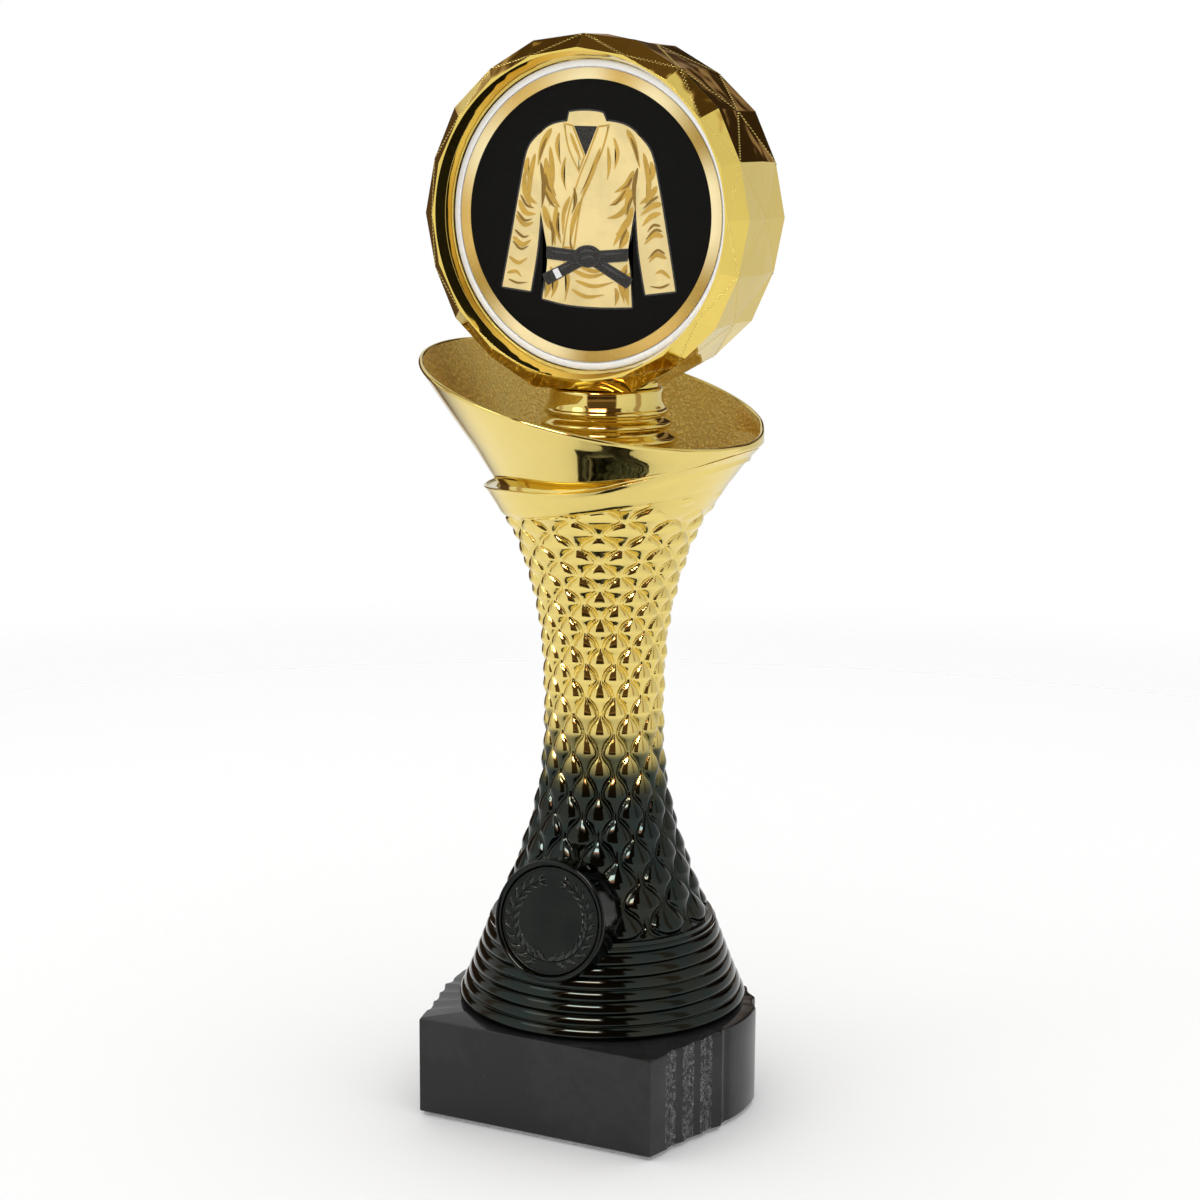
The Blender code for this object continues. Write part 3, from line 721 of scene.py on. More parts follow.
def grid_normals(P):
    da = np.roll(P, -1, 1) - np.roll(P, 1, 1)
    dz = np.gradient(P, axis=0)
    N = np.cross(dz, da)
    N /= np.maximum(np.linalg.norm(N, axis=2), 1e-12)[..., None]
    out = (N[..., 0] * P[..., 0] + N[..., 1] * P[..., 1]).mean()
    return N if out > 0 else -N


def build_column():
    n = 480
    a = np.linspace(0, 2 * np.pi, n, endpoint=False)
    phi = (np.degrees(a) + 90 + 180) % 360 - 180        # from the front towards +X
    ca, sa = np.cos(a), np.sin(a)

    def ring(r, z):
        r = np.broadcast_to(np.asarray(r, dtype=float), (n,))
        z = np.broadcast_to(np.asarray(z, dtype=float), (n,))
        return np.stack([r * ca, r * sa, z], -1)

    z_lip = periodic(phi, LIP_Z)
    r_lip0 = spline(z_lip, COL_R)
    S = np.linspace(0.1, 1, 260)

    def cup_r(z):
        out = np.zeros(n)
        for i in range(n):
            pts = cup_point(S, np.full_like(S, a[i]))
            out[i] = np.interp(z[i], pts[:, 2], np.hypot(pts[:, 0], pts[:, 1]))
        return out

    die = smoothstep(phi, 40, 66) * smoothstep(-phi, -150, -124)
    r_c0, r_c1 = cup_r(z_lip - 0.3), cup_r(z_lip + 0.75 * (1 - die) + 0.02)
    r_top = r_lip0 * (1 - die) + (cup_r(z_lip) + 0.14) * die
    z_band = np.full(n, BAND_C)
    for _ in range(6):
        rr = spline(z_band, COL_R)
        z_band = BAND_C + BAND_A * rr * ca + BAND_B * rr * sa
    live = 1 - die
    rows = []
    rows.append(ring(r_c0 - 1.6, z_lip - 3.0))
    rows.append(ring(r_c0 - 0.9, z_lip - 0.6))
    # cove at the foot of the cup, ledge, rounded lip
    zc = z_lip + 0.75 * live + 0.02
    inner_end = np.maximum(r_top - 0.95 * live - 0.04, r_c0 + 0.05)
    cove = np.minimum(0.9, 0.55 * np.maximum(inner_end - r_c0, 0.02)) * live + 0.01
    for k in range(6):
        th = 0.5 * math.pi * k / 5
        rows.append(ring(r_c1 - 0.05 + (r_c0 + cove - r_c1 + 0.05) * (1 - math.cos(th)),
                         zc - (zc - (z_lip - 0.34 * live)) * math.sin(th)))
    rows.append(ring(0.5 * (r_c0 + cove + inner_end), z_lip - 0.36 * live))
    rows.append(ring(inner_end, z_lip - 0.34 * live))
    for k in range(9):
        th = math.pi * k / 8
        w = 0.45 * live + 0.03
        rows.append(ring(r_top - w - w * math.cos(th), z_lip - 0.30 * live + (0.30 * live + 0.02) * math.sin(th)))
    band_h = z_lip - z_band
    for t in (0.10, 0.2, 0.32, 0.45, 0.58, 0.71, 0.83, 0.92):
        z = z_lip - 0.4 * live - (band_h - 0.4 * live) * t
        r0 = spline(z, COL_R) + 0.10
        rows.append(ring(r0 + (r_top - r_lip0 - 0.10) * (1 - t) ** 2.0, z))
    z, r0 = z_band, spline(z_band, COL_R)
    rows.append(ring(r0 + 0.10, z + 0.22))
    rows.append(ring(r0 + 0.05, z + 0.07))
    rows.append(ring(r0 - 0.12, z - 0.02))
    rows.append(ring(r0 - 0.42, z - 0.10))
    top_rows = len(rows)
    # scales
    z_flat = 137.0
    m1 = 46
    for k in range(1, m1 + 1):
        t = k / m1
        z = (z_band - 0.16) * (1 - t) + z_flat * t
        edge = smoothstep(z_band - z, 0.1, 0.9)
        r = column_radius(phi, z)
        base = spline(z, COL_R) - 0.62
        rows.append(ring(base * (1 - edge) + r * edge, z))
    zz = np.linspace(z_flat, 46.6, 256)[1:]
    split = top_rows + m1 + int(np.argmin(np.abs(zz - 96.0)))
    for z in zz:
        rows.append(ring(column_radius(phi, np.full(n, z)), z))
    for z, w in ((46.25, 0.8), (45.9, 0.4), (45.6, 0.12), (45.3, 0.0)):
        rows.append(ring(column_radius(phi, np.full(n, z)) * w + (spline(z, COL_R) - 1.05) * (1 - w), z))
    P = np.stack(rows)
    Z = P[..., 2]
    N = grid_normals(P)
    up = np.clip(N[..., 2], -0.75, 0.75)
    fz = np.clip((Z - 78.0) / 21.0, -0.6, 1.6) + 0.06 * ca[None, :]
    belly = 0.62 * up + 0.10
    fd = np.clip(fz + belly * smoothstep(Z, 66, 84) * smoothstep(-Z, -116, -98), 0, 1)
    fd[:top_rows] = 1.0

    def closed(lo, hi, name, cut_lo, cut_hi):
        """Rows lo..hi with a plain inner wall behind them."""
        part, fdp, nn = P[lo:hi + 1], fd[lo:hi + 1], N[lo:hi + 1]
        z_lo, z_hi = part[-1, :, 2], part[0, :, 2]
        lows = []
        for t in np.linspace(0, 1, 10):
            z = z_lo * (1 - t) + z_hi * t
            r = np.minimum(spline(z, COL_R) - 3.3, np.hypot(part[0, :, 0], part[0, :, 1]) - 1.2 if hi < split + 2
                           else 99.0)
            lows.append(ring(r, z))
        full = np.concatenate([part, np.stack(lows)])
        f2 = np.concatenate([fdp] + [fdp[-1:]] * 10)
        inward = np.stack([-ca, -sa, np.zeros(n)], -1)[None]
        n2 = np.concatenate([nn] + [inward] * 10)
        return ring_piece(name, full, f2, n2, M["column"])

    closed(0, split, "column_upper", 0, 0)
    closed(split, len(rows) - 1, "column_lower", 0, 0)

    # turned foot: rounded ridges with narrow grooves between them
    rows = []
    pitch = 2.62
    for z in np.linspace(45.6, 24.9, 180):
        x = ((z - 26.3) / pitch) % 1.0
        x = x - 1 if x > 0.5 else x
        prof = max(0.0, 1 - abs(2 * x) ** 2.4) ** 0.5
        r = float(spline(z, FOOT_R))
        if z > 44.3:
            prof = min(prof, max(0.0, 1 - ((z - 43.3) / 1.35) ** 2) ** 0.5 if z < 44.65 else 0.0)
        if z < 25.5:
            prof = max(0.0, 1 - ((25.5 - z) / 0.6) ** 2) ** 0.5 * prof
        rows.append(ring(r - 0.62 + 0.82 * prof, z))
    rows.append(ring(31.6, 24.9))
    rows.append(ring(31.0, 24.6))
    rows.append(ring(28.0, 24.6))
    rows.append(ring(27.6, 30.0))
    rows.append(ring(23.0, 44.5))
    rows.append(ring(23.0, 45.6))
    F = np.stack(rows)[:, ::2]
    obj = mesh_object("column_foot", F.reshape(-1, 3), grid_faces(len(rows), n // 2, wrap_rows=True), [M["column"]],
                      None, True, 40)
    attribute(obj, "fade", np.zeros(F.shape[0] * F.shape[1]))
    fix_out(obj)
    done(obj, STAND, "plated_column", "column")

    # deck that carries the cup
    deck = [(3.6, 137.0), (3.6, 142.2), (12.0, 142.2), (20.0, 142.2), (20.8, 141.6), (19.4, 137.6), (18.6, 137.0), (11.0, 137.0)]
    obj = lathe("column_deck", rounded(deck, 0.3, 2), 96, [M["black"]], None, True, 35)
    done(obj, STAND, "plated_column", "column")


# ------------------------------------------------- medal boss and its disc
MEDAL_C = np.array((0.0, -28.2, 50.6))
TILT = math.radians(11.7)
MEDAL_AX = np.array((0.0, -math.cos(TILT), math.sin(TILT)))
MEDAL_UP = np.array((0.0, math.sin(TILT), math.cos(TILT)))
MEDAL_RT = np.array((1.0, 0.0, 0.0))


def on_medal(u, v, w):
    return MEDAL_C + MEDAL_RT * u + MEDAL_UP * v + MEDAL_AX * w


def build_boss():
    prof = [(12.72, -2.2), (12.72, -0.45), (12.85, -0.12), (13.2, 0.22), (13.65, 0.35), (14.05, 0.22), (14.25, -0.2),
            (14.25, -1.0), (14.35, -3.0), (14.5, -6.0), (14.7, -9.0), (12.0, -9.0), (0.01, -9.0), (0.01, -2.2)]
    prof = rounded(prof, 0.15, 2)
    obj = lathe("medal_boss", prof, 128, [M["black"]], None, True, 40, MEDAL_AX, MEDAL_C)
    return done(obj, STAND, "plated_column", "column")


def leaf_mesh(bm, base, along, across, normal, length, width, height):
    """A pointed leaf, domed, with a crease down its middle."""
    m = 8
    rows = []
    for i in range(m + 1):
        t = i / m
        w = width * 0.5 * math.sin(math.pi * t ** 0.8) ** 0.9 if 0 < i < m else 0.0
        bend = 0.10 * length * math.sin(math.pi * t)
        c = base + along * (t * length) + across * bend * 0.5
        h = height * math.sin(math.pi * min(1, t * 1.05)) if 0 < i < m else 0
        if w == 0:
            rows.append([bm.verts.new(Vector(c * MM))])
        else:
            rows.append([bm.verts.new(Vector((c + across * (w * k)) * MM + normal * (h * g) * MM))
                         for k, g in ((-1, 0), (-0.5, 1.0), (0, 0.55), (0.5, 1.0), (1, 0))])
    for a, b in zip(rows, rows[1:]):
        if len(a) == 1:
            for j in range(4):
                bm.faces.new((a[0], b[j], b[j + 1]))
        elif len(b) == 1:
            for j in range(4):
                bm.faces.new((a[j], b[0], a[j + 1]))
        else:
            for j in range(4):
                bm.faces.new((a[j], b[j], b[j + 1], a[j + 1]))


def build_medal():
    prof = [(0.01, -0.62), (9.0, -0.62), (11.8, -0.62), (12.02, -0.6), (12.14, -0.44), (12.3, -0.38), (12.48, -0.42),
            (12.64, -0.7), (12.67, -1.9), (0.01, -1.9)]
    obj = lathe("medal_disc", prof, 128, [M["medal"]], None, True, 35, MEDAL_AX, MEDAL_C)
    done(obj, STAND, "black_medal", "medal_insert")
    # wreath: two branches that cross at the bottom and open at the top
    bm = bmesh.new()
    w0 = -0.63
    for side in (-1, 1):
        stem = []
        for i in range(12):
            t = i / 11
            ang = math.radians(-90 + side * (2 + 154 * t))
            rad = 9.55 + 0.25 * math.sin(math.pi * t)
            p = np.array((rad * math.cos(ang), rad * math.sin(ang)))
            d = np.array((-math.sin(ang), math.cos(ang))) * side
            out = np.array((math.cos(ang), math.sin(ang)))
            stem.append(p)
            size = 1.0 - 0.30 * t
            for lean, sp in ((0.62, 1), (-0.62, 1), (0.0, 1 if i == 11 else 0)):
                if sp == 0 or (i == 0 and lean > 0):
                    continue
                dirn = d * math.cos(lean) + out * math.sin(lean)
                dirn /= np.linalg.norm(dirn)
                acr = np.array((-dirn[1], dirn[0])) * (1 if lean >= 0 else -1)
                start = p + out * (0.25 * np.sign(lean))
                base = on_medal(start[0], start[1], w0)
                al = MEDAL_RT * dirn[0] + MEDAL_UP * dirn[1]
                ac = MEDAL_RT * acr[0] + MEDAL_UP * acr[1]
                leaf_mesh(bm, base, al, ac, MEDAL_AX, 3.3 * size, 1.30 * size, 0.30)
        # stem
        for p, q in zip(stem, stem[1:]):
            t2 = q - p
            t2 /= np.linalg.norm(t2)
            nn = np.array((-t2[1], t2[0])) * 0.11
            quad = []
            for c, s_, h in ((p, -1, 0), (p, 0, 0.14), (p, 1, 0), (q, -1, 0), (q, 0, 0.14), (q, 1, 0)):
                w_ = c + nn * s_
                quad.append(bm.verts.new(Vector(on_medal(w_[0], w_[1], w0 + h) * MM)))
            bm.faces.new((quad[0], quad[1], quad[4], quad[3]))
            bm.faces.new((quad[1], quad[2], quad[5], quad[4]))
    me = bpy.data.meshes.new("medal_wreath")
    bmesh.ops.recalc_face_normals(bm, faces=bm.faces)
    bm.to_mesh(me)
    bm.free()
    me.materials.append(M["leaf"])
    me.shade_smooth()
    me.set_sharp_from_angle(angle=math.radians(60))
    wreath = link(bpy.data.objects.new("medal_wreath", me))
    done(wreath, STAND, "black_medal", "medal_insert")


# ==================================================================== cup
def build_cup():
    n = 288
    a = np.linspace(0, 2 * np.pi, n, endpoint=False)
    S = np.linspace(0, 1, 64)
    outer = np.stack([cup_point(np.full(n, s), a) for s in S])            # rows from the foot to the rim
    # outward normals
    du = np.roll(outer, -1, 1) - np.roll(outer, 1, 1)
    ds = np.gradient(outer, axis=0)
    nrm = np.cross(du, ds)
    nrm /= np.linalg.norm(nrm, axis=2)[..., None]
    rad = outer.copy()
    rad[..., 2] = 0
    flip = np.sign((nrm * rad).sum(2))[..., None]
    nrm = nrm * flip
    wall = (2.3 - 1.15 * smoothstep(S, 0.2, 0.9))[:, None, None]
    inner = outer - nrm * wall
    # rim: a slim rolled edge, slightly proud on the outside
    top, tn, up = outer[-1], nrm[-1], ds[-1] / np.linalg.norm(ds[-1], axis=1)[:, None]
    w = float(wall[-1, 0, 0])
    rim = []
    for k in range(1, 10):
        th = math.pi * k / 10
        rim.append(top - tn * (w * 0.5) + tn * (w * 0.5 + 0.06 * math.sin(th)) * math.cos(th) + up * (0.62 * math.sin(th)))
    rows = [r for r in outer]
    tags = [0] * len(rows)
    rows += rim
    tags += [0] * (len(rim) - 2) + [0, 0]
    keep = [i for i in range(len(S) - 1, -1, -1) if inner[i][:, 2].min() > 151.0]
    for j, i in enumerate(keep):
        rows.append(inner[i])
        tags.append(1)
    last = rows[-1]
    for r, z in ((22.6, 149.9), (21.8, 149.35), (20.8, 149.1), (12.0, 149.0)):
        rows.append(np.stack([r * np.cos(a), r * np.sin(a), np.full(n, z)], -1))
        tags.append(1)
    for r, z in ((3.6, 149.0), (3.6, 142.5)):
        rows.append(np.stack([r * np.cos(a), r * np.sin(a), np.full(n, z)], -1))
        tags.append(1)
    P = np.stack(rows)
    f = grid_faces(len(rows), n, wrap_rows=True)
    fm = np.repeat(np.array(tags), n)
    obj = mesh_object("cup_trumpet", P.reshape(-1, 3), f, [M["gold_cup"], M["pebbled"]], fm, True, 60)
    fix_out(obj)
    return done(obj, STAND, "plated_gold", "cup")


# ================================================================== riser
def build_riser():
    prof = [(3.6, 172.9), (11.9, 172.9), (12.7, 172.85), (13.1, 172.6), (13.28, 172.2), (13.3, 171.7), (13.36, 170.9),
            (13.46, 169.9), (13.62, 169.0), (13.95, 168.5)]
    rings = ((14.6, 167.4), (15.5, 164.4), (16.95, 160.8), (18.1, 157.6), (19.2, 154.2))
    for i, (r, z) in enumerate(rings):
        for k in range(9):
            th = math.radians(72 - 150 * k / 8)
            prof.append((r - 0.8 + 0.85 * math.cos(th), z + 0.8 * math.sin(th)))
        if i + 1 < len(rings):
            r2, z2 = rings[i + 1]
            g = 0.5 * ((z - 0.8) + (z2 + 0.8))
            prof += [(r - 0.85, min(z - 0.9, g + 0.25)), (r - 0.62, g - 0.2)]
    prof += [(19.0, 152.4), (19.8, 150.6), (19.75, 149.5), (19.6, 149.3), (16.8, 149.3), (11.5, 164.0), (10.2, 169.6), (3.6, 169.6)]
    obj = lathe("stepped_riser", prof, 160, [M["gold"]], None, True, 42)
    return done(obj, STAND, "plated_gold", "riser")


# ========================================================== emblem holder
HOLD_ROWS = ((-16.0, 37.4), (-12.6, 40.8), (-0.5, 40.5), (9.5, 40.0), (12.5, 37.0))
HN = 20


def along_y(bm):
    bmesh.ops.rotate(bm, verts=bm.verts, cent=(0, 0, 0), matrix=Matrix.Rotation(math.radians(-90), 3, 'X'))
    bmesh.ops.translate(bm, verts=bm.verts, vec=(0, 0, HOLD_Z * MM))
    return bm


def cyl(r, z0, z1, n, r2=None):
    bm = bmesh.new()
    bmesh.ops.create_cone(bm, cap_ends=True, segments=n, radius1=r * MM, radius2=(r if r2 is None else r2) * MM,
                          depth=(z1 - z0) * MM)
    bmesh.ops.translate(bm, verts=bm.verts, vec=(0, 0, 0.5 * (z0 + z1) * MM))
    return bm


def temp(bm):
    bmesh.ops.recalc_face_normals(bm, faces=bm.faces)
    me = bpy.data.meshes.new("cutter")
    bm.to_mesh(me)
    bm.free()
    return link(bpy.data.objects.new("cutter", me))


def boolean(obj, bm, op='DIFFERENCE'):
    c = temp(bm)
    mod = obj.modifiers.new("b", 'BOOLEAN')
    mod.operation, mod.object, mod.solver = op, c, 'EXACT'
    apply_mods(obj)
    bpy.data.objects.remove(c, do_unlink=True)


def apply_mods(obj):
    dg = bpy.context.evaluated_depsgraph_get()
    dg.update()
    me = bpy.data.meshes.new_from_object(obj.evaluated_get(dg))
    old = obj.data
    obj.modifiers.clear()
    obj.data = me
    bpy.data.meshes.remove(old)


def holder_vertex(k, i):
    y, r = HOLD_ROWS[k]
    if 0 < k < len(HOLD_ROWS) - 1:
        r = r + (0.25 if (i + k) % 2 else -0.25)
    a = 2 * math.pi * i / HN
    return Vector((r * math.cos(a), y, HOLD_Z + r * math.sin(a)))


def build_holder():
    bm = bmesh.new()
    rows = [[bm.verts.new(holder_vertex(k, i) * MM) for i in range(HN)] for k in range(len(HOLD_ROWS))]
    for k, (low, high) in enumerate(zip(rows, rows[1:])):
        for i in range(HN):
            j = (i + 1) % HN
            if (i + k) % 2:
                bm.faces.new((low[i], low[j], high[i]))
                bm.faces.new((low[j], high[j], high[i]))
            else:
                bm.faces.new((low[i], low[j], high[j]))
                bm.faces.new((low[i], high[j], high[i]))
    bm.faces.new(list(reversed(rows[0])))
    bm.faces.new(rows[-1])
    obj = temp(bm)
    obj.name = "faceted_holder"
    boolean(obj, along_y(cyl(34.4, -5.2, 20.0, 96)))
    boolean(obj, cyl(12.4, SEAT_Z, 177.0, 96), 'UNION')
    boolean(obj, cyl(8.6, 175.0, 185.0, 64), 'UNION')
    # two polished bevels with a fine step between them
    boolean(obj, along_y(cyl(36.62, -16.3, -13.0, 160, r2=35.62)))
    boolean(obj, along_y(cyl(36.15, -12.75, -9.9, 160, r2=35.1)))
    boolean(obj, along_y(cyl(35.62, -13.2, -12.6, 160)))
    boolean(obj, along_y(cyl(35.35, -10.0, -6.7, 160)))
    boolean(obj, along_y(cyl(36.3, 9.0, 20.0, 128)))
    bm = bmesh.new()
    bmesh.ops.create_cube(bm, size=0.1)
    bmesh.ops.translate(bm, verts=bm.verts, vec=(0, 0, SEAT_Z * MM - 0.05))
    boolean(obj, bm)
    boolean(obj, cyl(3.6, 170, 190, 32))
    boolean(obj, cyl(10.0 / math.sqrt(3) + 0.4, 178.7, 190, 6))
    obj.data.materials.clear()
    obj.data.materials.append(M["gold_head"])
    bev = obj.modifiers.new("bevel", 'BEVEL')
    bev.width = 0.13 * MM
    bev.segments = 2
    bev.limit_method = 'ANGLE'
    bev.angle_limit = math.radians(7)
    bev.harden_normals = False
    bev.use_clamp_overlap = True
    apply_mods(obj)
    obj.data.shade_smooth()
    obj.data.set_sharp_from_angle(angle=math.radians(35))
    wn = obj.modifiers.new("wn", 'WEIGHTED_NORMAL')
    wn.keep_sharp = True
    wn.weight = 100
    apply_mods(obj)
    done(obj, HEAD, "plated_gold", "emblem_holder")
    # fine beading along the diamonds' diagonals
    verts, faces = [], []
    seg = 6
    for k in range(len(HOLD_ROWS) - 1):
        for i in range(HN):
            j = (i + 1) % HN
            if (i + k) % 2:
                p, q = holder_vertex(k, j), holder_vertex(k + 1, i)
                fp = holder_vertex(k, i)
                fq = holder_vertex(k + 1, j)
            else:
                p, q = holder_vertex(k, i), holder_vertex(k + 1, j)
                fp = holder_vertex(k, j)
                fq = holder_vertex(k + 1, i)
            d = q - p
            L = d.length
            d.normalize()
            n1 = d.cross(fp - p)
            n2 = (fq - p).cross(d)
            n1.normalize()
            n2.normalize()
            c0 = Vector((0, p.y, HOLD_Z))
            if n1.dot(p - c0) < 0:
                n1 = -n1
            if n2.dot(p - c0) < 0:
                n2 = -n2
            nn = (n1 + n2).normalized()
            side = nn.cross(d)
            step = 0.46
            m = int((L - 0.8) / step)
            for b in range(m + 1):
                off = 0.17 * (1 if b % 2 else -1)
                c = p + d * (0.4 + b * step) + side * off
                if c.z < SEAT_Z + 0.4:
                    continue
                base = len(verts)
                rb = 0.19
                for s in range(seg):
                    th = 2 * math.pi * s / seg
                    verts.append(c + (d * math.cos(th) + side * math.sin(th)) * rb - nn * 0.03)
                for s in range(seg):
                    th = 2 * math.pi * s / seg
                    verts.append(c + (d * math.cos(th) + side * math.sin(th)) * rb * 0.62 + nn * 0.085)
                verts.append(c + nn * 0.125)
                for s in range(seg):
                    t = (s + 1) % seg
                    faces.append((base + s, base + t, base + seg + t, base + seg + s))
                    faces.append((base + seg + s, base + seg + t, base + 2 * seg))
    beads = mesh_object("holder_beading", [tuple(v) for v in verts], faces, [M["gold_bead"]], None, True, None)
    fix_out(beads)
    done(beads, HEAD, "plated_gold", "emblem_holder")
    # back cover: a plain turned plate with a rim and a shallow dish
    prof = [(0.01, 10.5), (20.0, 10.5), (29.0, 10.6), (30.2, 10.9), (31.0, 11.25), (34.8, 11.3), (35.6, 11.2), (36.0, 10.8),
            (36.0, 9.3), (0.01, 9.3)]
    prof = rounded(prof, 0.4, 3)
    cov = lathe("holder_back_plate", prof, 144, [M["gold_back"]], None, True, 35, (0, 1, 0), (0, 0, HOLD_Z))
    done(cov, HEAD, "plated_gold", "holder_back_cover")


def build_insert():
    yf = 9.2                       # distances forward of the holder's middle plane
    prof = [(0.01, 7.0), (35.0, 7.0), (35.0, 9.45), (34.9, 9.62), (34.7, 9.74), (34.2, 9.78), (33.9, 9.79), (33.6, 9.78),
            (33.45, 9.7), (33.42, 9.2), (0.01, 9.2)]
    obj = lathe("white_insert", prof, 200, [M["white"]], None, True, 30, (0, -1, 0), (0, 0, HOLD_Z))
    done(obj, HEAD, "white_plastic", "insert_disc")
    # printed disc: black field and the gold ring round it
    prof = [(0.01, 9.5), (30.55, 9.5), (30.6, 9.8), (30.5, 9.8), (0.01, 9.8)]
    fld = lathe("printed_field", prof, 200, [M["print_black"]], None, True, 30, (0, -1, 0), (0, 0, HOLD_Z))
    done(fld, HEAD, "printed_label", "emblem_label")
    prof = [(30.62, 9.5), (33.15, 9.5), (33.15, 9.74), (33.05, 9.8), (30.7, 9.8), (30.62, 9.76)]
    ring = lathe("printed_ring", prof, 200, [M["print_ring"]], None, True, 30, (0, -1, 0), (0, 0, HOLD_Z))
    done(ring, HEAD, "printed_label", "emblem_label")


# ----------------------------------------------------- emblem: a jacket
def curve_points(ctrl, closed=True, m=8, tension=0.5):
    """Catmull-Rom through control points; a point given three times stays a corner."""
    pts = [np.array(p[:2], dtype=float) for p in ctrl]
    hard = [len(p) > 2 for p in ctrl]
    out = []
    N = len(pts)
    rng = range(N if closed else N - 1)
    for i in rng:
        p1, p2 = pts[i], pts[(i + 1) % N]
        p0 = pts[(i - 1) % N] if (closed or i > 0) else p1
        p3 = pts[(i + 2) % N] if (closed or i + 2 < N) else p2
        if hard[i]:
            p0 = p1
        if hard[(i + 1) % N]:
            p3 = p2
        m1, m2 = (p2 - p0) * tension, (p3 - p1) * tension
        for k in range(m):
            t = k / m
            out.append((2 * t ** 3 - 3 * t ** 2 + 1) * p1 + (t ** 3 - 2 * t ** 2 + t) * m1
                       + (-2 * t ** 3 + 3 * t ** 2) * p2 + (t ** 3 - t ** 2) * m2)
    if not closed:
        out.append(pts[-1])
    return out


def plate(bm, outline, depth0, depth1, mat_index=0):
    """A flat shape standing from depth0 to depth1 in front of the holder's middle plane."""
    area = sum(a[0] * b[1] - b[0] * a[1] for a, b in zip(outline, outline[1:] + outline[:1]))
    if area < 0:
        outline = outline[::-1]
    low = [bm.verts.new(Vector((p[0], -depth0, HOLD_Z + p[1])) * MM) for p in outline]
    high = [bm.verts.new(Vector((p[0], -depth1, HOLD_Z + p[1])) * MM) for p in outline]
    n = len(outline)
    f = bm.faces.new(high)
    f.material_index = mat_index
    for i in range(n):
        j = (i + 1) % n
        g = bm.faces.new((low[i], low[j], high[j], high[i]))
        g.material_index = mat_index
    return f


def grow(outline, d):
    """Outline moved outwards by d."""
    P = np.array(outline)
    area = (P[:, 0] * np.roll(P[:, 1], -1) - np.roll(P[:, 0], -1) * P[:, 1]).sum()
    t = np.roll(P, -1, 0) - np.roll(P, 1, 0)
    L = np.linalg.norm(t, axis=1)[:, None]
    L[L < 1e-9] = 1
    t = t / L
    nn = np.stack([t[:, 1], -t[:, 0]], 1) * (1 if area > 0 else -1)
    return [tuple(p) for p in P + nn * d]


def fold_shape(path, width, m=7):
    """A tapering crease drawn along a path."""
    c = curve_points(path, closed=False, m=m)
    left, right = [], []
    for i, p in enumerate(c):
        q0, q1 = c[max(0, i - 1)], c[min(len(c) - 1, i + 1)]
        t = q1 - q0
        t /= max(1e-9, np.linalg.norm(t))
        nn = np.array((-t[1], t[0]))
        s = i / (len(c) - 1)
        w = width * math.sin(math.pi * min(1, max(0.0, s)) ** 0.75) * 0.5
        if i in (0, len(c) - 1):
            left.append(p)
        else:
            left.append(p + nn * w)
            right.append(p - nn * w)
    return [tuple(p) for p in left] + [tuple(p) for p in reversed(right)]


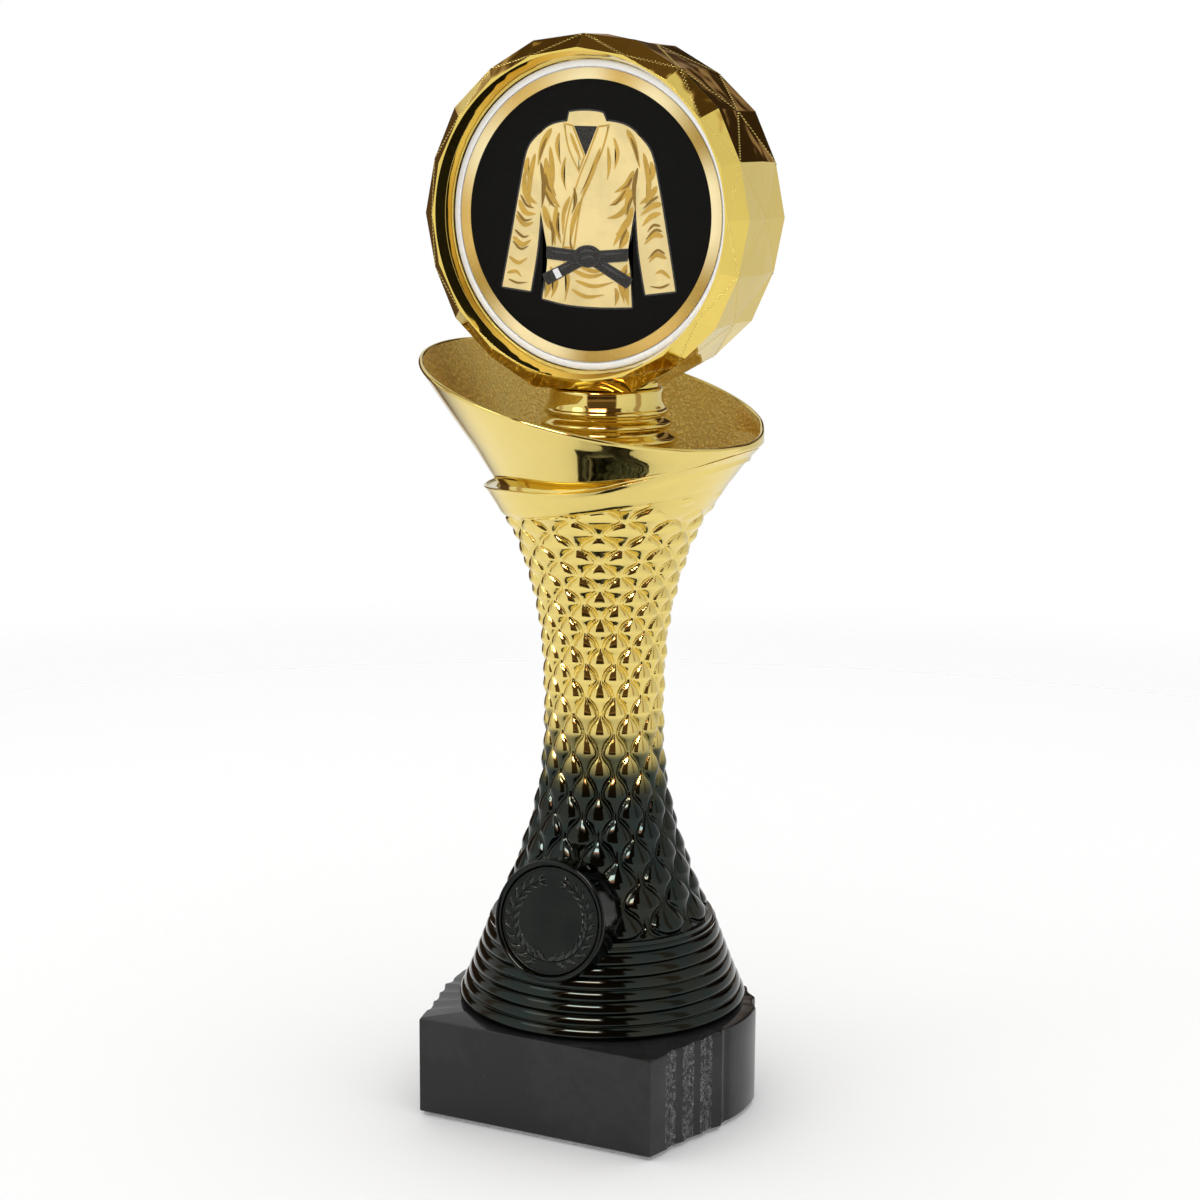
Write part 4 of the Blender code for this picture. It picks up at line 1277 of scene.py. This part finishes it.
def build_emblem():
    H = 1  # marks a corner point
    body = [(-6.6, 21.0), (-12.4, 18.2), (-14.4, 12.0), (-12.9, 6.0, H), (-12.2, 1.0), (-10.4, -8.0, H), (-10.6, -12.0),
            (-11.7, -19.0, H), (-5.0, -20.2), (3.0, -20.5), (11.2, -20.2, H), (10.7, -12.0), (10.0, -8.0, H), (11.6, 1.0),
            (12.6, 6.0, H), (14.6, 12.0), (12.6, 18.0), (6.6, 21.0)]
    sleeve_l = [(-9.0, 19.9), (-12.8, 18.1, H), (-15.6, 14.6), (-17.6, 6.0), (-19.6, -4.0), (-22.2, -16.6, H), (-14.8, -17.4, H),
                (-13.1, -8.0), (-12.2, 1.0), (-11.9, 6.0, H), (-11.0, 13.0)]
    sleeve_r = [(9.0, 19.8), (12.9, 17.8, H), (15.8, 14.0), (17.9, 5.6), (19.8, -4.2), (22.0, -16.2, H), (14.6, -17.2, H),
                (12.9, -8.0), (12.1, 0.6), (11.8, 6.0, H), (11.0, 13.0)]
    collar = [(-5.6, 20.4, H), (-4.9, 23.2, H), (-2.0, 23.5), (1.6, 23.4), (3.6, 23.0, H), (4.9, 20.4, H), (2.4, 20.2, H),
              (-3.9, 20.4, H)]
    objs = []

    def layer(name, mats, shapes, slot="printed_label"):
        bm = bmesh.new()
        for outline, d0, d1, mi in shapes:
            plate(bm, [tuple(p) for p in outline], d0, d1, mi)
        bmesh.ops.triangulate(bm, faces=[f for f in bm.faces if len(f.verts) > 4], ngon_method='EAR_CLIP')
        bmesh.ops.recalc_face_normals(bm, faces=bm.faces)
        me = bpy.data.meshes.new(name)
        bm.to_mesh(me)
        bm.free()
        for m in mats:
            me.materials.append(m)
        o = link(bpy.data.objects.new(name, me))
        done(o, HEAD, slot, "emblem_label")
        objs.append(o)

    B = [tuple(p) for p in curve_points(body)]
    SL = [tuple(p) for p in curve_points(sleeve_l)]
    SR = [tuple(p) for p in curve_points(sleeve_r)]
    CO = [tuple(p) for p in curve_points(collar, m=4)]
    d = 9.8
    layer("emblem_outline", [M["cloth_edge"]],
          [(grow(s, 0.42), d, d + 0.020, 0) for s in (B, SL, SR, CO)])
    layer("emblem_jacket", [M["cloth"]], [(SL, d, d + 0.040, 0), (SR, d, d + 0.041, 0), (B, d, d + 0.055, 0),
                                          (CO, d, d + 0.050, 0)])
    # lapels: the left one tucks under the right one, which crosses to the belt
    lap_under = [(-6.4, 20.9, H), (-3.9, 20.4, H), (-0.8, 13.4, H), (-2.4, 9.6, H), (-5.2, 15.0)]
    lap_over = [(2.4, 20.2, H), (5.4, 20.6, H), (3.4, 14.0), (-1.2, 4.5), (-3.4, -7.4, H), (-6.6, -7.4, H), (-5.2, 0.6),
                (-2.6, 8.4), (-0.3, 13.6)]
    neck = [(-3.7, 20.2, H), (2.2, 20.1, H), (-0.7, 13.5, H)]
    LU = [tuple(p) for p in curve_points(lap_under, m=5)]
    LO = [tuple(p) for p in curve_points(lap_over, m=6)]
    NK = [tuple(p) for p in curve_points(neck, m=2)]
    layer("emblem_lapels", [M["cloth_mid"], M["cloth"], M["belt"]],
          [(LU, d, d + 0.075, 0), (grow(LU, -0.42), d, d + 0.090, 1), (LO, d, d + 0.105, 0),
           (grow(LO, -0.42), d, d + 0.120, 1), (NK, d, d + 0.085, 2)])
    # creases, drawn in two tones
    mid, deep = [], []
    for path, w in (
            (((-13.6, 14.0), (-15.0, 8.0), (-15.2, 2.0)), 1.3), (((-16.4, 10.0), (-16.2, 5.0), (-14.4, 1.5)), 1.2),
            (((-18.6, 0.0), (-16.4, -2.2), (-14.0, -1.6)), 1.1), (((-19.4, -5.0), (-17.0, -6.8), (-14.6, -5.6)), 1.2),
            (((-20.4, -9.6), (-18.0, -11.0), (-15.6, -9.8)), 0.9), (((-21.0, -13.4), (-18.6, -13.0), (-17.2, -14.2)), 0.8),
            (((-9.8, 15.6), (-9.2, 9.0), (-9.9, 2.0)), 1.3), (((-8.0, 2.6), (-8.4, -2.0), (-6.8, -6.4)), 1.2),
            (((-10.6, 0.0), (-9.0, -3.2), (-8.4, -7.0)), 1.1), (((13.8, 14.4), (15.2, 8.0), (14.6, 2.6)), 1.3),
            (((18.2, 1.0), (15.8, 0.2), (13.6, -2.0)), 1.2), (((18.9, -4.2), (16.6, -3.8), (14.2, -6.0)), 1.2),
            (((19.8, -9.0), (17.2, -8.2), (15.4, -10.0)), 1.1), (((20.8, -13.4), (18.6, -11.9), (17.0, -12.6)), 0.8),
            (((10.8, 8.6), (8.6, 4.6), (5.4, 2.4)), 1.4), (((11.2, 4.2), (8.0, 0.6), (4.8, -0.4)), 1.2),
            (((10.6, 0.2), (8.6, -3.0), (6.4, -6.6)), 1.5), (((4.9, 15.6), (5.3, 11.6), (4.8, 8.2)), 0.8),
            (((-4.4, -12.0), (0.4, -13.6), (5.4, -12.4)), 1.0), (((-3.2, -14.6), (1.6, -15.8), (6.8, -14.6)), 0.9),
            (((9.9, -10.6), (8.4, -14.6), (9.3, -19.3)), 1.5), (((-9.6, -11.6), (-8.2, -15.2), (-9.4, -18.8)), 1.3),
            (((-6.2, -10.2), (-5.0, -14.6), (-5.9, -19.4)), 0.8),
            (((-9.4, 19.6), (-11.6, 16.0), (-12.9, 11.2)), 1.5), (((9.6, 19.4), (11.4, 16.2), (12.9, 11.0)), 1.4),
            (((-7.4, 18.6), (-8.0, 15.4), (-7.0, 11.4)), 0.9), (((-10.9, 13.0), (-10.2, 8.0), (-8.2, 4.2)), 1.6),
            (((-11.2, 7.6), (-9.4, 4.2), (-7.2, 1.8)), 1.5), (((-11.4, 2.2), (-10.0, -1.8), (-7.6, -4.6)), 1.7),
            (((-5.8, 13.2), (-6.6, 9.4), (-5.6, 5.6)), 0.7), (((-4.6, 4.4), (-6.2, 0.6), (-6.4, -4.4)), 1.0),
            (((11.4, 10.4), (9.6, 7.2), (6.6, 5.4)), 1.3), (((11.6, 6.6), (10.2, 4.0), (9.4, 0.4)), 1.6),
            (((11.2, 2.4), (9.8, -1.6), (7.0, -4.0)), 1.4), (((10.0, -3.0), (9.2, -5.4), (7.8, -7.2)), 1.5),
            (((6.4, 17.6), (7.4, 14.0), (6.6, 10.6)), 0.8), (((-16.9, 7.2), (-15.4, 4.0), (-13.2, 2.6)), 1.4),
            (((-17.8, 3.4), (-16.2, 0.6), (-13.4, 0.2)), 1.3),
            (((17.2, 7.0), (15.4, 4.6), (13.0, 3.0)), 1.4), (((18.4, 3.0), (16.2, 2.6), (13.2, 0.4)), 1.3),
            (((-15.4, 13.0), (-15.9, 10.4), (-14.6, 7.6)), 1.2),
            (((15.6, 12.4), (16.2, 9.8), (14.8, 7.2)), 1.2), (((10.6, -12.4), (9.6, -15.8), (10.4, -19.8)), 1.6),
            (((7.0, -16.0), (7.6, -17.8), (7.0, -20.0)), 0.9), (((-10.9, -13.0), (-10.0, -16.0), (-11.0, -18.9)), 1.4),
            (((-4.2, -16.6), (-0.4, -18.2), (4.4, -17.6)), 0.9), (((-2.0, -11.4), (1.6, -12.4), (5.0, -11.6)), 0.9),
            (((3.1, 15.4), (0.6, 9.0), (-2.2, 2.6)), 1.1), (((-2.0, 3.4), (-3.8, -1.6), (-4.6, -6.8)), 1.2),
            (((-4.6, 18.6), (-3.2, 15.4), (-1.8, 12.4)), 0.8)):
        mid.append((fold_shape(path, w), d, d + 0.124 + 0.0008 * len(mid), 0))
    for path, w in (
            (((-12.2, 12.0), (-11.3, 6.5), (-11.9, 1.6)), 1.0), (((12.4, 11.0), (11.5, 6.4), (12.0, 1.4)), 1.0),
            (((-18.9, -3.4), (-16.8, -5.0), (-15.2, -4.7)), 0.6), (((-3.6, 6.4), (-3.1, 3.4), (-4.2, 0.4)), 0.7),
            (((18.2, -1.8), (16.4, -1.7), (15.0, -3.2)), 0.6), (((9.6, 6.2), (7.4, 3.2), (5.6, 2.6)), 0.5),
            (((-9.9, -1.0), (-8.9, -4.0), (-9.2, -7.0)), 0.8), (((9.9, -2.6), (8.6, -5.0), (8.0, -7.0)), 0.7),
            (((-20.6, -14.8), (-18.2, -15.6), (-15.6, -15.4)), 0.5), (((20.6, -14.6), (18.4, -15.5), (15.6, -15.3)), 0.5),
            (((-10.6, 17.6), (-11.9, 14.6), (-12.5, 12.2)), 0.7), (((10.6, 17.8), (11.9, 14.8), (12.5, 12.0)), 0.7),
            (((-11.0, 5.6), (-9.8, 3.2), (-8.4, 1.8)), 0.7), (((-11.0, 9.6), (-10.4, 6.8), (-9.2, 5.0)), 0.7),
            (((11.2, 4.6), (10.3, 2.6), (9.8, 0.4)), 0.7), (((11.0, 8.8), (9.9, 7.0), (8.4, 6.2)), 0.6),
            (((-17.4, 4.6), (-15.8, 2.2), (-13.8, 1.6)), 0.6), (((-18.3, 0.8), (-16.4, -1.2), (-14.4, -0.9)), 0.6),
            (((-19.4, -6.0), (-17.4, -7.8), (-15.2, -7.0)), 0.5), (((17.6, 4.8), (15.8, 3.6), (13.8, 1.9)), 0.6),
            (((18.6, -3.0), (16.8, -2.8), (14.6, -4.9)), 0.6), (((19.4, -8.0), (17.4, -7.2), (15.2, -9.2)), 0.5),
            (((-3.4, -8.9), (-4.4, -6.4), (-4.4, -4.2)), 0.5), (((9.9, -11.6), (9.2, -14.0), (9.5, -16.6)), 0.6),
            (((-7.4, 0.8), (-7.9, -2.4), (-7.0, -5.0)), 0.5), (((1.6, 12.2), (-0.2, 8.2), (-2.0, 4.8)), 0.35)):
        deep.append((fold_shape(path, w), d, d + 0.170 + 0.0008 * len(deep), 1))
    layer("emblem_creases", [M["cloth_mid"], M["cloth_deep"]], mid + deep)
    # belt with a plain knot and two hanging ends
    belt = [(-10.3, -7.3, H), (-4.0, -7.9), (0.0, -8.1), (5.0, -7.8), (10.0, -7.3, H), (9.9, -9.6, H), (4.6, -10.1), (0.0, -10.3),
            (-4.6, -10.1), (-10.4, -9.6, H)]
    tail_l = [(-1.0, -9.2, H), (-3.4, -9.9), (-11.4, -13.6, H), (-10.2, -15.6, H), (-2.6, -11.6), (0.6, -10.2, H)]
    tail_r = [(1.0, -9.2, H), (3.2, -9.9), (11.2, -13.9, H), (9.9, -15.8, H), (2.8, -11.8), (-0.4, -10.2, H)]
    knot = [(-3.1, -8.4), (-1.6, -7.1), (1.0, -6.9), (3.0, -8.2), (2.4, -10.3), (0.2, -11.3), (-2.2, -10.6)]
    BT = [tuple(p) for p in curve_points(belt, m=4)]
    TL = [tuple(p) for p in curve_points(tail_l, m=4)]
    TR = [tuple(p) for p in curve_points(tail_r, m=4)]
    KN = [tuple(p) for p in curve_points(knot, m=6)]
    hi = [fold_shape(((-9.6, -8.1), (-6.0, -8.4), (-3.6, -8.6)), 0.5), fold_shape(((3.4, -8.5), (6.0, -8.3), (9.4, -8.0)), 0.5),
          fold_shape(((-9.8, -13.4), (-6.4, -11.8), (-3.4, -10.5)), 0.5), fold_shape(((3.4, -10.6), (6.4, -12.2), (9.8, -13.9)), 0.5),
          fold_shape(((-2.0, -8.3), (0.0, -7.7), (1.8, -8.2)), 0.6), fold_shape(((-1.8, -9.8), (0.3, -9.0), (2.0, -9.7)), 0.5)]
    tip = [(-9.0, -12.45, H), (-7.7, -11.85, H), (-6.5, -13.75, H), (-7.9, -14.4, H)]
    layer("emblem_belt", [M["cloth_edge"], M["belt"], M["belt_hi"], M["belt_tip"]],
          [(grow(s, 0.3), d, d + 0.196 + 0.002 * i, 0) for i, s in enumerate((BT, TL, TR))] +
          [(s, d, d + 0.205 + 0.003 * i, 1) for i, s in enumerate((BT, TL, TR))] +
          [(grow(KN, 0.3), d, d + 0.220, 0), (KN, d, d + 0.23, 1)] +
          [(s, d, d + 0.240, 2) for s in hi] + [([q[:2] for q in tip], d, d + 0.250, 3)])


# ======================================================== carried CAD nodes
def carried():
    for node, mat in (("base_pad", "foam"), ("base_washer", "steel"), ("base_nut", "steel"), ("holder_nut", "steel"),
                      ("tie_rod", "rod")):
        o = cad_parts[node]
        for s in o.material_slots:
            s.material = M[mat]
        if not o.material_slots:
            o.data.materials.append(M[mat])


# ================================================================== studio
def mixer(nt, kind):
    return nt.nodes.new(kind)


def build_studio():
    sc = bpy.context.scene
    sc.view_settings.view_transform = 'Standard'
    sc.view_settings.look = 'None'
    sc.view_settings.exposure = 0.0
    # floor: a pale disc whose edge melts into the white background
    n = 96
    rows = []
    for r in (1.0, 60, 120, 240, 360, 480, 600, 700):
        a = np.linspace(0, 2 * np.pi, n, endpoint=False)
        rows.append(np.stack([r * np.cos(a), r * np.sin(a), np.zeros(n)], -1))
    V = np.concatenate(rows)
    floor_mat = Nodes("studio_floor", (0.84, 0.84, 0.84), 0.8, 0.0)
    floor_mat.p.inputs["Specular IOR Level"].default_value = 0.1
    nt = floor_mat.nt
    floor = mesh_object("studio_floor", V, grid_faces(len(rows), n), floor_mat.mat, None, True, None)
    bm = bmesh.new()
    bm.from_mesh(floor.data)
    inner = [v for v in bm.verts if v.co.length < 0.0015]
    bm.faces.new(inner)
    bmesh.ops.recalc_face_normals(bm, faces=bm.faces)
    for f_ in bm.faces:
        if f_.normal.z < 0:
            f_.normal_flip()
    bm.to_mesh(floor.data)
    bm.free()
    rad = floor_mat.new("ShaderNodeVectorMath")
    rad.operation = 'LENGTH'
    nt.links.new(floor_mat.tc.outputs["Object"], rad.inputs[0])
    fac = floor_mat.map(rad.outputs["Value"], 0.20, 0.66, 0.0, 1.0, True)
    out = nt.nodes["Material Output"]
    tr = nt.nodes.new("ShaderNodeBsdfTransparent")
    mx = nt.nodes.new("ShaderNodeMixShader")
    nt.links.new(fac, mx.inputs[0])
    nt.links.new(floor_mat.p.outputs[0], mx.inputs[1])
    nt.links.new(tr.outputs[0], mx.inputs[2])
    nt.links.new(mx.outputs[0], out.inputs["Surface"])

    # white studio with the dark gaps between its soft boxes, as the plating mirrors it
    w = bpy.data.worlds.new("studio")
    sc.world = w
    w.use_nodes = True
    nt = w.node_tree
    nt.nodes.clear()
    tc = nt.nodes.new("ShaderNodeTexCoord")
    sep = nt.nodes.new("ShaderNodeSeparateXYZ")
    nt.links.new(tc.outputs["Generated"], sep.inputs[0])

    def m(op, a, b=None, c=None):
        k = nt.nodes.new("ShaderNodeMath")
        k.operation = op
        for i, v in enumerate((a, b, c)):
            if v is None:
                continue
            if isinstance(v, (int, float)):
                k.inputs[i].default_value = v
            else:
                nt.links.new(v, k.inputs[i])
        return k.outputs[0]

    def band(x, lo, hi, soft):
        def step(edge, sign):
            k = nt.nodes.new("ShaderNodeMapRange")
            k.interpolation_type = 'SMOOTHSTEP'
            k.inputs["From Min"].default_value = edge - soft
            k.inputs["From Max"].default_value = edge + soft
            k.inputs["To Min"].default_value = 0 if sign > 0 else 1
            k.inputs["To Max"].default_value = 1 if sign > 0 else 0
            nt.links.new(x, k.inputs["Value"])
            return k.outputs[0]
        return m('MULTIPLY', step(lo, 1), step(hi, -1))

    # azimuth in degrees from the front (-Y) towards +X, and elevation
    neg_y = m('MULTIPLY', sep.outputs["Y"], -1.0)
    az = m('MULTIPLY', m('ARCTAN2', sep.outputs["X"], neg_y), 180 / math.pi)
    el = m('MULTIPLY', m('ARCSINE', sep.outputs["Z"]), 180 / math.pi)
    az_back = m('WRAP', az, 360.0, 0.0)
    def both(*bands):
        out = bands[0]
        for b_ in bands[1:]:
            out = m('MULTIPLY', out, b_)
        return out

    # dark shapes: camera side, a tall gap beside it, a strip, the room behind, and soft gaps at the sides
    shapes = [(both(band(az, -12, 47, 2.0), band(el, -17, 4, 2.0)), 0.97),
              (both(band(az, -12, 47, 2.0), band(el, 4, 34, 2.0)), 0.91),
              (both(band(az, 27, 60, 2.0), band(el, 32, 64, 2.0)), 0.92),
              (both(band(az, -19, -12.5, 1.5), band(el, 18, 62, 2.0)), 0.85),
              (both(band(az, -112, 44, 4.0), band(el, 62, 95, 2.5)), 0.88),
              (both(band(az, -113, -90, 3.0), band(el, 34, 66, 2.5)), 0.92),
              (both(band(az_back, 145, 152, 2.0), band(el, 17, 44, 2.0)), 0.75),
              (both(band(az_back, 152, 174, 2.0), band(el, 14, 40, 2.0)), 0.96),
              (both(band(az_back, 174, 182, 2.0), band(el, 9, 40, 2.0)), 0.68),
              (both(band(az_back, 182, 197, 2.0), band(el, 9, 38, 2.0)), 0.96),
              (both(band(az_back, 197, 206, 2.0), band(el, 4, 17, 2.0)), 0.93),
              (both(band(az_back, 222, 262, 3.0), band(el, -30, 22, 2.5)), 0.90),
              (both(band(az, -84, -74, 3.0), band(el, -8, 58, 3.0)), 0.45),
              (both(band(az, 88, 101, 3.0), band(el, -6, 56, 3.0)), 0.5)]
    light = None
    for shape, depth in shapes:
        t_ = m('SUBTRACT', 1.0, m('MULTIPLY', shape, depth))
        light = t_ if light is None else m('MULTIPLY', light, t_)
    key = both(band(az, -9, 24, 1.5), band(el, 41, 49, 1.2))
    # brightest a little left of the camera, softer towards the sides and the top
    facing = m('COSINE', m('MULTIPLY', m('ADD', az, 8.0), math.pi / 180))
    around = m('ADD', 0.86, m('MULTIPLY', facing, 0.13))
    grad = nt.nodes.new("ShaderNodeMapRange")
    grad.inputs["From Min"].default_value = -0.3
    grad.inputs["From Max"].default_value = 1.0
    grad.inputs["To Min"].default_value = 1.02
    grad.inputs["To Max"].default_value = 0.84
    nt.links.new(sep.outputs["Z"], grad.inputs["Value"])
    level = m('MULTIPLY', m('MULTIPLY', grad.outputs[0], around), light)
    lp = nt.nodes.new("ShaderNodeLightPath")
    level = m('ADD', level, m('MULTIPLY', m('MULTIPLY', key, 22.0), lp.outputs["Is Glossy Ray"]))
    # matt surfaces get a slightly stronger, even fill
    diffuse = lp.outputs["Is Diffuse Ray"]
    level = m('ADD', m('MULTIPLY', level, m('SUBTRACT', 1.0, diffuse)), m('MULTIPLY', diffuse, 1.22))
    cam = m('MULTIPLY', lp.outputs["Is Camera Ray"], 1.0)
    level = m('ADD', m('MULTIPLY', level, m('SUBTRACT', 1.0, cam)), m('MULTIPLY', cam, 1.0))
    bg = nt.nodes.new("ShaderNodeBackground")
    # what is dark in the room is brown rather than grey
    warm = nt.nodes.new("ShaderNodeMix")
    warm.data_type = 'RGBA'
    pick = [q for q in warm.inputs if q.name == "Factor" and q.type == 'VALUE'][0]
    ca_, cb_ = [q for q in warm.inputs if q.type == 'RGBA'][:2]
    ca_.default_value = (1, 1, 1, 1)
    cb_.default_value = (1.25, 0.72, 0.36, 1)
    nt.links.new(m('MULTIPLY', m('SUBTRACT', 1.0, light), lp.outputs["Is Glossy Ray"]), pick)
    nt.links.new([q for q in warm.outputs if q.type == 'RGBA'][0], bg.inputs["Color"])
    nt.links.new(level, bg.inputs["Strength"])
    # the key light's lower edge glows orange
    glow = nt.nodes.new("ShaderNodeBackground")
    glow.inputs["Color"].default_value = (1.0, 0.25, 0.06, 1)
    edge = both(band(az, -11, 26, 1.5), band(el, 37.2, 40.6, 1.0))
    nt.links.new(m('MULTIPLY', m('MULTIPLY', edge, 7.0), lp.outputs["Is Glossy Ray"]), glow.inputs["Strength"])
    add = nt.nodes.new("ShaderNodeAddShader")
    nt.links.new(bg.outputs[0], add.inputs[0])
    nt.links.new(glow.outputs[0], add.inputs[1])
    wo = nt.nodes.new("ShaderNodeOutputWorld")
    nt.links.new(add.outputs[0], wo.inputs["Surface"])

    # a faint lamp from the upper left gives the shadow a direction
    la = bpy.data.lights.new("soft_left", 'AREA')
    la.shape = 'DISK'
    la.size = 0.5
    la.energy = 0.9
    lamp = link(bpy.data.objects.new("soft_left", la))
    lamp.location = (-0.7, -0.9, 1.0)
    lamp.rotation_euler = (Vector((0, 0, 0.12)) - lamp.location).to_track_quat('-Z', 'Y').to_euler()

    cam_data = bpy.data.cameras.new("camera")
    cam_data.lens = 75.17
    cam_data.sensor_width = 36.0
    cam_data.clip_start = 0.01
    cam_obj = link(bpy.data.objects.new("camera", cam_data))
    r, u, f = Vector((0.89489, 0.44625, 0.00616)), Vector((-0.08875, 0.16443, 0.98239)), Vector((-0.43738, 0.87967, -0.18675))
    mat = Matrix(((r.x, u.x, -f.x, 0.25916), (r.y, u.y, -f.y, -0.52379), (r.z, u.z, -f.z, 0.23307), (0, 0, 0, 1)))
    cam_obj.matrix_world = mat
    sc.camera = cam_obj


build_studio()
build_base()
build_column()
build_boss()
build_medal()
build_cup()
build_riser()
build_holder()
build_insert()
build_emblem()
carried()

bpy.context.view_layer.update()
